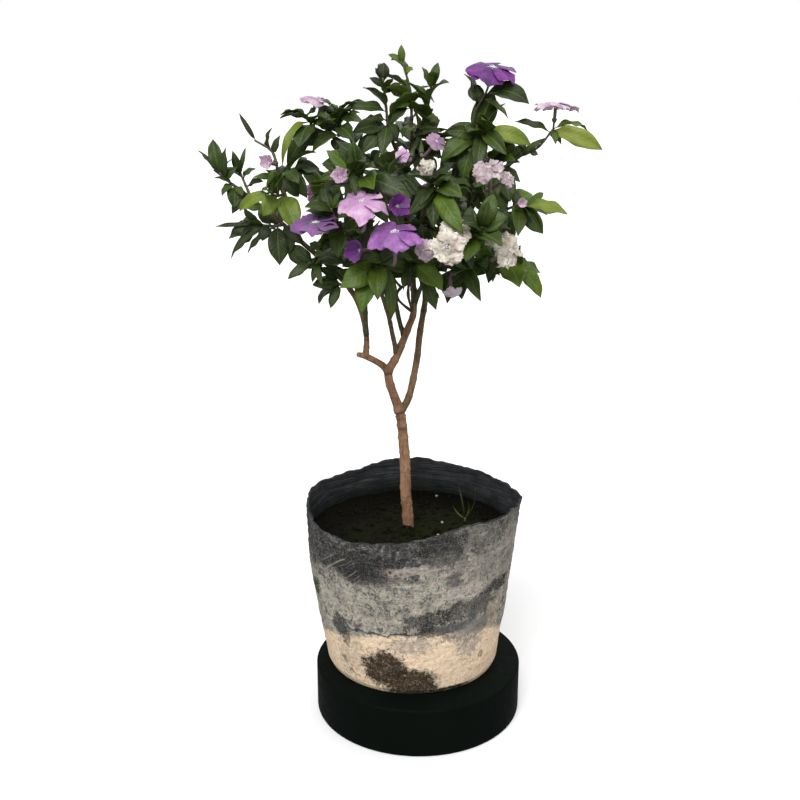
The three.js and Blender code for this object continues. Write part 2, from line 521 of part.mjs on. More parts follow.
// The stalk of a bloom: a curve from the shoot's stem that ends square to the bloom's face
function stalkOf(bloom) {
  const { curve, at } = stemOf(SHOOTS.find(({ name }) => name === bloom.shoot));
  const foot = curve.getPoint(at(bloom.place));
  const centre = vector(bloom.centre);
  const face = vector(bloom.face).normalize();
  const reach = foot.distanceTo(centre);
  const back = centre.clone().addScaledVector(face, -0.5 * reach);
  const middle = foot.clone().lerp(back, 0.5);
  const line = curveThrough([foot, middle, back, centre]);
  const calyx = Math.min(CALYX_LENGTH, 0.25 * reach) / reach;
  const split = CALYX_PLACE;
  return {
    line,
    face,
    centre,
    reach,
    calyxStart: split - calyx,
    calyxEnd: split,
    tubeStart: split + GAP / reach,
  };
}

// The green stalk of a bloom, which widens at its end into the calyx
function stalkSolid(bloom) {
  const { line, calyxStart, calyxEnd } = stalkOf(bloom);
  return stemSolid(line, [
    [0, STALK_RADIUS],
    [calyxStart, STALK_RADIUS],
    [calyxEnd, CALYX_RADIUS],
  ]);
}

// A five-lobed corolla on its slender tube. Each lobe steps over the next, and the rim runs out
// round each lobe and in to the notch between two.
function bloomSolid(bloom) {
  const { line, face, centre, reach, tubeStart } = stalkOf(bloom);
  const { bend, spread } = FORMS[bloom.form];
  const right = new THREE.Vector3(0, 0, 1).cross(face).normalize();
  const above = face.clone().cross(right);
  const turn = 2 * Math.PI * draw(BLOOMS.indexOf(bloom), 1);
  const sector = (2 * Math.PI) / LOBES;
  const positions = [];
  const triangles = [];
  const ring = (count, pointAt) => Array.from({ length: count }, (_, i) => {
    const p = pointAt(i);
    return positions.push(p.x, p.y, p.z) / 3 - 1;
  });
  const sheetPoint = (angle, share, lift) => {
    const out = bloom.radius * share * spread;
    return centre.clone()
      .addScaledVector(right, out * Math.cos(angle + turn))
      .addScaledVector(above, out * Math.sin(angle + turn))
      .addScaledVector(face, lift + bloom.radius * bend * share * share);
  };
  const tubePoint = (t, radius, i) => {
    const along = line.getTangent(t);
    const x = right.clone().addScaledVector(along, -right.dot(along)).normalize();
    const y = along.clone().cross(x);
    return line.getPoint(t)
      .addScaledVector(x, radius * Math.cos(i * sector + turn))
      .addScaledVector(y, radius * Math.sin(i * sector + turn));
  };
  const rimCount = LOBE_RIM.length;
  const rim = ring(LOBES * rimCount, (i) => {
    const [share, out, lift] = LOBE_RIM[i % rimCount];
    return sheetPoint((Math.floor(i / rimCount) + share) * sector, out, lift * bloom.radius);
  });
  const half = PETAL_THICKNESS / 2;
  const upper = ring(LOBES, (i) => sheetPoint(i * sector, THROAT, half));
  const under = ring(LOBES, (i) => sheetPoint(i * sector, THROAT, -half));
  const neck = ring(LOBES, (i) => tubePoint(1 - 2.5 / reach, TUBE_RADIUS * 1.2, i));
  const foot = ring(LOBES, (i) => tubePoint(tubeStart, TUBE_RADIUS, i));
  const [hub] = ring(1, () => sheetPoint(0, 0, half));
  const [plug] = ring(1, () => line.getPoint(tubeStart));
  const facet = (a, b, c, flip) => triangles.push(...(flip ? [a, c, b] : [a, b, c]));
  const band = (low, high) => low.forEach((a, i) => {
    const next = (i + 1) % LOBES;
    facet(a, low[next], high[next], false);
    facet(a, high[next], high[i], false);
  });
  [[upper, false], [under, true]].forEach(([inner, flip]) => inner.forEach((a, i) => {
    const c = inner[(i + 1) % LOBES];
    const edge = Array.from({ length: rimCount + 1 }, (_, k) => rim[(rimCount * i + k) % rim.length]);
    const middle = Math.floor(rimCount / 2);
    for (let k = 0; k < rimCount; k += 1) facet(k < middle ? a : c, edge[k], edge[k + 1], flip);
    facet(a, edge[middle], c, flip);
  }));
  upper.forEach((a, i) => facet(hub, a, upper[(i + 1) % LOBES], false));
  band(neck, under);
  band(foot, neck);
  foot.forEach((a, i) => facet(plug, foot[(i + 1) % LOBES], a, false));
  return solidFrom(positions, triangles);
}

// The stand: a straight-sided disc with lightly chamfered edges
function standSolid() {
  const side = [
    [STAND_RADIUS - STAND_EDGE, 0],
    [STAND_RADIUS, STAND_EDGE],
    [STAND_RADIUS, STAND_HEIGHT - STAND_EDGE],
    [STAND_RADIUS - STAND_EDGE, STAND_HEIGHT],
  ];
  const profile = [[0, 0], ...side, [0, STAND_HEIGHT]].map(([r, z]) => new THREE.Vector2(r, z));
  const geometry = new THREE.LatheGeometry(profile, STAND_SIDES);
  geometry.rotateX(Math.PI / 2);
  return solidOfGeometry(geometry);
}

// The rim's height round the bag, a smooth closed run through the heights named at the top
function rimHeight(angle) {
  const count = BAG_RIM_HEIGHTS.length;
  const place = (((angle / (2 * Math.PI)) % 1) + 1) % 1 * count;
  const first = Math.floor(place);
  const w = place - first;
  const [a, b, c, d] = [-1, 0, 1, 2].map((k) => BAG_RIM_HEIGHTS[(first + k + count) % count]);
  const [slopeB, slopeC] = [(c - a) / 2, (d - b) / 2];
  const cubic = 2 * b - 2 * c + slopeB + slopeC;
  const square = -3 * b + 3 * c - 2 * slopeB - slopeC;
  return cubic * w ** 3 + square * w ** 2 + slopeB * w + b;
}

// The bag's outer radius at an angle and a share of its height: tapered, slack and lightly folded
function bagRadius(angle, share) {
  const taper = THREE.MathUtils.lerp(BAG_BASE_RADIUS, BAG_RIM_RADIUS, share);
  const belly = 3.2 * Math.sin(Math.PI * share) * (0.5 - 0.5 * Math.cos(angle));
  const folds = 0.9 * Math.sin(5 * angle + 4 * share) * Math.sin(Math.PI * Math.min(1, share * 1.2));
  const ripple = 1.2 * share ** 3 * Math.sin(7 * angle + 1);
  return taper + belly + folds + ripple;
}

const BAG_BOTTOM = STAND_HEIGHT + GAP;
const BAG_FLOOR = BAG_BOTTOM + BAG_WALL;
const BAG_SHARES = [0.05, 0.22, 0.4, 0.58, SOIL_SHARE, 1];

function bagRing(share, height, inset) {
  return Array.from({ length: BAG_SIDES }, (_, i) => {
    const angle = (2 * Math.PI * i) / BAG_SIDES;
    const radius = bagRadius(angle, share) - inset;
    const top = typeof height === 'function' ? height(angle) : height;
    return new THREE.Vector3(
      BAG_CENTRE[0] + radius * Math.cos(angle),
      BAG_CENTRE[1] + radius * Math.sin(angle),
      top,
    );
  });
}

// The height at a share of the bag's side: level low down, following the rim higher up
const bagHeight = (share) => (angle) => BAG_BOTTOM + (rimHeight(angle) - BAG_BOTTOM) * share;

function bagSolid() {
  const outer = BAG_SHARES.map((share) => bagRing(share, bagHeight(share), 0));
  const foot = bagRing(0, BAG_BOTTOM, 2);
  const inner = BAG_SHARES.slice(1).reverse().map((share) => bagRing(share, bagHeight(share), BAG_WALL));
  inner[0] = bagRing(1, (angle) => rimHeight(angle) - 0.6, BAG_WALL);
  const floor = bagRing(0, BAG_FLOOR, BAG_WALL + 2);
  return loft([foot, ...outer, ...inner, floor], { turnAt: outer.length + 1 });
}

// The soil fills the bag up to a lumpy surface, and leaves plain holes for what stands in it
function soilSolid() {
  const inset = BAG_WALL + GAP;
  const walls = BAG_SHARES.filter((share) => share > 0.1 && share <= SOIL_SHARE)
    .map((share) => bagRing(share, bagHeight(share), inset));
  const floor = bagRing(0, BAG_FLOOR + GAP, inset + 2);
  const edge = walls[walls.length - 1];
  const middle = new THREE.Vector3(...BAG_CENTRE, SOIL_HEIGHT);
  const surface = [0.68, 0.34].map((share, ring) => edge.map((point, i) => {
    const place = middle.clone().lerp(point, share);
    place.z = SOIL_HEIGHT - 1.5 + 3 * draw(ring, i, 7);
    return place;
  }));
  const body = loft([floor, ...walls, ...surface], { lastCentre: middle });
  const holes = [[LIMBS.trunk.points[0], LIMBS.trunk.thick], [WEED_FOOT, WEED_STEM]];
  return holes.reduce((left, [[x, y, low], radius]) => (
    left.subtract(post(x, y, low - GAP, SOIL_HEIGHT + HOLE_HEADROOM, radius + GAP))
  ), body);
}

// An upright round post between two heights
function post(x, y, low, high, radius) {
  const geometry = new THREE.CylinderGeometry(radius, radius, high - low, POST_SIDES);
  geometry.rotateX(Math.PI / 2);
  geometry.translate(x, y, (low + high) / 2);
  return solidOfGeometry(geometry);
}

// The weed: a short stem with a few blades of grass
function weedSolid() {
  const [x, y, low] = WEED_FOOT;
  const root = new THREE.Vector3(x, y, SOIL_HEIGHT + 1);
  const blades = WEED_TIPS.map((tip, k) => bladeSolid({
    root,
    tip: vector(tip),
    width: WEED_BLADE_WIDTH,
    look: FRONT_LOOK,
    arch: WEED_BLADE_ARCH,
    roll: 1.2 * k,
    wave: 0,
  }));
  return wasm.Manifold.union([post(x, y, low, SOIL_HEIGHT + 2, WEED_STEM), ...blades]);
}

// What already stands, so that a leaf can be bent clear of it
const standing = [];

function boxesMeet(a, b) {
  return [0, 1, 2].every((k) => a.min[k] < b.max[k] && b.min[k] < a.max[k]);
}

function place(node, solid) {
  standing.push({ node, solid, box: solid.boundingBox() });
  return solid;
}

function isClear(solid, test) {
  const box = solid.boundingBox();
  return standing.every((other) => !test(other) || !boxesMeet(box, other.box)
    || solid.intersect(other.solid).isEmpty());
}

// A leaf keeps clear of every other node, and of the other blades on its own shoot
function growLeaf(node, leaf, tries, loose) {
  for (let attempt = 0; attempt < tries; attempt += 1) {
    const shape = leafTry(leaf, attempt);
    const guard = bladeSolid(shape, LEAF_CLEARANCE);
    if (!isClear(guard, (other) => other.node !== node)) continue;
    const blade = bladeSolid(shape);
    if (!loose && !isClear(blade, (other) => other.node === node && other.blade)) continue;
    place(node, blade);
    standing[standing.length - 1].blade = true;
    return blade;
  }
  return null;
}

const paint = (colour, roughness, side = THREE.FrontSide) => new THREE.MeshStandardMaterial({
  color: colour, roughness, metalness: 0, side,
});

const MATERIALS = {
  stand: paint('#141616', 0.6),
  bag: paint('#6f7274', 0.95),
  soil: paint('#33281e', 1),
  bark: paint('#9b7a5e', 0.85),
  weed: paint('#3f5a1f', 0.7),
  leaf: paint('#2c4a17', 0.45),
  petal_purple: paint('#6a2f9a', 0.6),
  petal_violet: paint('#a766d0', 0.6),
  petal_lilac: paint('#d3a8e0', 0.6),
  petal_pale: paint('#d9c3dc', 0.6),
  petal_fading: paint('#d8c6cf', 0.6),
  petal_white: paint('#e6e2da', 0.6),
};

const plant = new THREE.Group();

function addNode(name, solid, slot) {
  const mesh = new THREE.Mesh(geometryOfSolid(solid.simplify(SLIVER)), MATERIALS[slot]);
  mesh.name = name;
  plant.add(mesh);
}

addNode('stand', standSolid(), 'stand');
addNode('grow_bag', bagSolid(), 'bag');
addNode('soil', soilSolid(), 'soil');
addNode('weed', weedSolid(), 'weed');

const limbs = Object.values(LIMBS).map(({ thick, thin, points }) => {
  const sides = SIDES_BY_GIRTH.find(([girth]) => thick >= girth)[1];
  const curve = curveThrough(points.map(vector));
  return place('wood', stemSolid(curve, taper(curve, thick, thin, LIMB_STEP), sides));
});
addNode('wood', wasm.Manifold.union(limbs), 'bark');

BLOOMS.forEach((bloom) => {
  addNode(bloom.name, place(bloom.name, bloomSolid(bloom)), bloom.colour);
});

const shoots = SHOOTS.map((shoot) => {
  const node = `shoot_${shoot.name}`;
  const { curve, start } = stemOf(shoot);
  const stem = stemSolid(curve, taper(curve, STEM_THICK, STEM_THIN, STEM_STEP, start));
  const stalks = BLOOMS.filter(({ shoot: name }) => name === shoot.name).map(stalkSolid);
  return { node, parts: [stem, ...stalks].map((solid) => place(node, solid)) };
});

// The leaves set by hand go first on every shoot, and the others fill in between them
[true, false].forEach((byHand) => {
  SHOOTS.forEach((shoot, index) => {
    const { node, parts } = shoots[index];
    leavesOf(shoot, index).forEach((leaf) => {
      if (leaf.key[1] < 100 !== byHand) return;
      const blade = growLeaf(node, leaf, LEAF_TRIES, byHand);
      if (blade) parts.push(blade);
    });
  });
});

shoots.forEach(({ node, parts }) => addNode(node, wasm.Manifold.union(parts), 'leaf'));

export default plant;
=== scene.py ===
"""A small flowering shrub, trained as a little tree, in a weathered grow bag on a round black stand.

The tables and the rules of growth are those of the CAD source, in millimetres. Each node keeps its
form and place here, and is dressed with a finer piece: waved and veined leaves, layered petals, bark,
wrinkled felt, crumbs of soil and a satin stand.
"""

from math import acos, atan2, cos, exp, hypot, log, pi, radians, sin, sqrt, tan, tau

import bmesh
import bpy
import numpy as np
from bpy.props import FloatProperty, FloatVectorProperty, IntProperty, PointerProperty
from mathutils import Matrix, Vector, kdtree, noise
from numpy.linalg import norm


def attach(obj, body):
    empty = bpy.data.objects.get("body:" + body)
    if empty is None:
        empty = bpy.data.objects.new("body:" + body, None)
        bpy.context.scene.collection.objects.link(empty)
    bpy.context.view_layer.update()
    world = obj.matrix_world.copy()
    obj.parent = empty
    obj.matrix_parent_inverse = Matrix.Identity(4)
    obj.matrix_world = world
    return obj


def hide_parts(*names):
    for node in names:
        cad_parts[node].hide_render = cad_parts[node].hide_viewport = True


bl_info = {
    "name": "Potted Shrub",
    "version": (1, 0, 0),
    "blender": (4, 5, 0),
    "location": "View3D > Sidebar > Shrub",
    "description": "Builds a flowering shrub in a weathered grow bag on a round stand",
    "category": "Object",
}

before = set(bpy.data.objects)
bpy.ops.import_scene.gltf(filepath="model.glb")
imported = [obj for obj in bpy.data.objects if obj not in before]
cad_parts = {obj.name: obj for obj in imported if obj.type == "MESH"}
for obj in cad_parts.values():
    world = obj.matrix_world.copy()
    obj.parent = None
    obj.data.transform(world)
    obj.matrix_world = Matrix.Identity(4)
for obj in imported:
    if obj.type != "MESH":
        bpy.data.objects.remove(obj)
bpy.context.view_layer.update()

MM = 0.001
GAP = 0.3
FELT_LENGTH = tau * 84
FELT_HEIGHT = 148.0
STAND_RADIUS = 90.0
STAND_HEIGHT = 43.6
STAND_EDGE = 2.0
BAG_CENTRE = (-5.0, 9.0)
BAG_BASE_RADIUS = 75.0
BAG_RIM_RADIUS = 92.5
BAG_WALL = 2.5
BAG_BOTTOM = STAND_HEIGHT + GAP
BAG_FLOOR = BAG_BOTTOM + BAG_WALL
BAG_RIM_HEIGHTS = (190.5, 190, 191, 195.5, 190, 190, 188.5, 186, 183.5, 191, 198.5, 197)
SOIL_HEIGHT = 164.0
SOIL_SHARE = 0.82
WEED_FOOT = (41, 26, 150)
WEED_STEM = 1.2
WEED_TIPS = ((35, 30, 197), (51, 27, 194), (44, 19, 184), (30, 24, 178))

STEM_THICK = 1.3
STEM_THIN = 0.8
BLADE_WIDTH_TO_LENGTH = 0.42
LEAST_ARCH = 0.07
ARCH_RANGE = 0.09
SHORT_BLADE = 27.0
CALYX_LENGTH = 7.0
CALYX_RADIUS = 2.0
CALYX_PLACE = 0.56
TUBE_RADIUS = 1.3
STALK_RADIUS = 0.8
CRINKLE_SEED = 1
LOBES = 5
SECTOR = tau / LOBES
LEAF_TRIES = 12
LEAF_SWING = 0.09
LEAF_SHRINK = 0.03
GOLDEN_TURN = pi * (3 - sqrt(5))
FRONT_LOOK = np.array((0.0, -0.8, 0.6))
CROWN_CENTRE = (-10.0, 0.0, 420.0)
TIP_MATCH = 0.1
LEAF_FULLNESS = 1.36
INNER_LIMBS = ("leader", "right_stem", "right_low", "right_mid", "front_mid", "front_up", "front_right",
               "front_left", "left_front", "back", "back_left", "back_right")
INNER_STEP = 8.5
INNER_LEAF = 31
CROWN_FLOOR = 392
GOLDEN_ANGLE = radians(137.5)
LIMB_FULLNESS = 1.32
FILLING_SIZE = 30.0

# The felt's lump: place across and up in mm, half width, half height and height
FELT_LUMP = (-94, 86, 9, 8, 2.4)

# The camera's place in metres, and how far it looks down and to the side in degrees
CAMERA_PLACE = (0, -0.9, 0.5561)
CAMERA_DOWN = 16.91
CAMERA_ASIDE = 1.02

# The suns: name, the side they shine from, their share of the key light and how soft they are
SUNS = (("key", (-0.3, -1.0, 1.15), 1.0, 45), ("fill", (1.0, -0.5, 0.8), 0.2, 60),
        ("back", (0.3, 1.0, 1.1), 0.3, 60))

# How brown the bark of a limb is, from the dull green of 0 to the tan of the trunk
WOOD_TONES = {"trunk": 1.0, "left_stem": 1.0, "leader": 1.0, "low_left": 0.9, "left_limb": 0.55,
              "right_stem": 0.5, "front_left": 0.3}

# The woody limbs: two radii, then a smooth run of points from the parent outwards
LIMBS = {
    "trunk": (5.0, 4.0, ((-9, 8, 82), (-9, 8, 164), (-11, 8, 194), (-12, 8, 227), (-14, 6, 254),
        (-16, 4, 271))),
    "left_stem": (3.7, 3.4, ((-16, 4, 271), (-21, 4, 285), (-25, 3, 298), (-26, 2, 307))),
    "leader": (3.4, 1.2, ((-26, 2, 307), (-19, 2, 319), (-14, 4, 331), (-9, 4, 344), (-5, 4, 356),
        (-5, 4, 375), (-7, 2, 400), (-10, 0, 424), (-11, 0, 448), (-10, 0, 470), (-7, 0, 490),
        (-7, 0, 508))),
    "right_stem": (2.4, 1.3, ((-16, 4, 271), (-10, 6, 280), (-6, 8, 294), (-2, 10, 316),
        (0, 12, 335), (3, 14, 354), (7, 18, 374), (17, 22, 393), (29, 22, 414), (40, 18, 436),
        (48, 12, 456))),
    "low_left": (2.2, 1.6, ((-26, 2, 307), (-32, -2, 314), (-44, -8, 322), (-50, -10, 324))),
    "left_limb": (1.8, 1.1, ((-44, -8, 322), (-43, -10, 336), (-45, -14, 354), (-51, -20, 373),
        (-62, -28, 391), (-76, -34, 406), (-92, -36, 421), (-107, -34, 435), (-125, -28, 448),
        (-141, -20, 459))),
    "left_front": (1.4, 1.1, ((-43, -12, 341), (-43, -22, 362), (-42, -38, 383), (-39, -55, 403))),
    "front_left": (1.5, 1.1, ((-19, 2, 323), (-22, -6, 340), (-25, -16, 358), (-29, -28, 375),
        (-35, -45, 396), (-45, -58, 418), (-56, -66, 432))),
    "back_left": (1.5, 1.1, ((-13, 4, 337), (-17, 12, 348), (-20, 22, 361), (-23, 34, 373),
        (-34, 48, 390), (-49, 60, 411), (-64, 66, 431))),
    "front_right": (1.4, 1.1, ((-5, 4, 366), (4, -20, 386), (14, -40, 402), (24, -55, 416),
        (36, -62, 427))),
    "front_mid": (1.4, 1.1, ((-7, 2, 401), (-2, -20, 423), (3, -38, 446), (6, -50, 466))),
    "front_up": (1.4, 1.1, ((-10, 0, 424), (-19, -28, 445), (-28, -52, 461), (-38, -66, 470))),
    "right_low": (1.4, 1.1, ((7, 18, 376), (25, 12, 388), (44, 2, 398), (62, -10, 406))),
    "right_mid": (1.4, 1.1, ((26, 22, 409), (46, 8, 426), (67, -6, 441))),
    "back_right": (1.5, 1.1, ((7, 18, 376), (17, 44, 391), (27, 66, 409), (36, 80, 430))),
    "back": (1.5, 1.1, ((-5, 4, 375), (-10, 36, 392), (-15, 64, 413), (-19, 84, 438))),
    "left_up": (1.3, 1.0, ((-92, -36, 421), (-98, -42, 441), (-103, -42, 460), (-108, -36, 476))),
    "upper_left": (1.4, 1.0, ((-10, 0, 444), (-27, -10, 469), (-46, -18, 486), (-65, -22, 497),
        (-82, -24, 505))),
    "up_left": (1.3, 1.0, ((-10, 0, 470), (-19, -4, 487), (-25, -6, 502))),
    "f1_limb": (1.3, 1.0, ((39, 18, 433), (40, 8, 461), (41, 0, 487), (41, -4, 504))),
    "f2_limb": (1.3, 1.0, ((48, 12, 456), (63, 8, 469), (74, 4, 480))),
}

# Thin dark twigs crowded round the forks of the leader, each as the points it passes
TWIGS = (
    ((-5, 4, 356), (-13, 0, 363), (-18, -2, 369), (-18, -3, 374), (-15, -2, 378), (-10, 0, 381),
     (-6, 2, 390)),
    ((-15, -2, 378), (-20, -4, 384), (-25, -8, 392), (-27, -12, 400)),
    ((-5, 4, 356), (-9, -2, 369), (-9, -6, 380), (-6, -10, 391), (-3, -14, 401)),
    ((-5, 4, 358), (-1, 2, 370), (1, 0, 381), (-2, -4, 391), (-6, -8, 401)),
    ((-5, 4, 362), (-4, -2, 376), (-5, -5, 385), (-10, -8, 395)),
    ((3, 14, 354), (4, 4, 363), (3, 0, 374), (4, -4, 385), (8, -8, 395)),
    ((-25, -16, 358), (-24, -14, 369), (-23, -14, 382), (-24, -20, 394)),
)
TWIG_RADIUS = 1.2

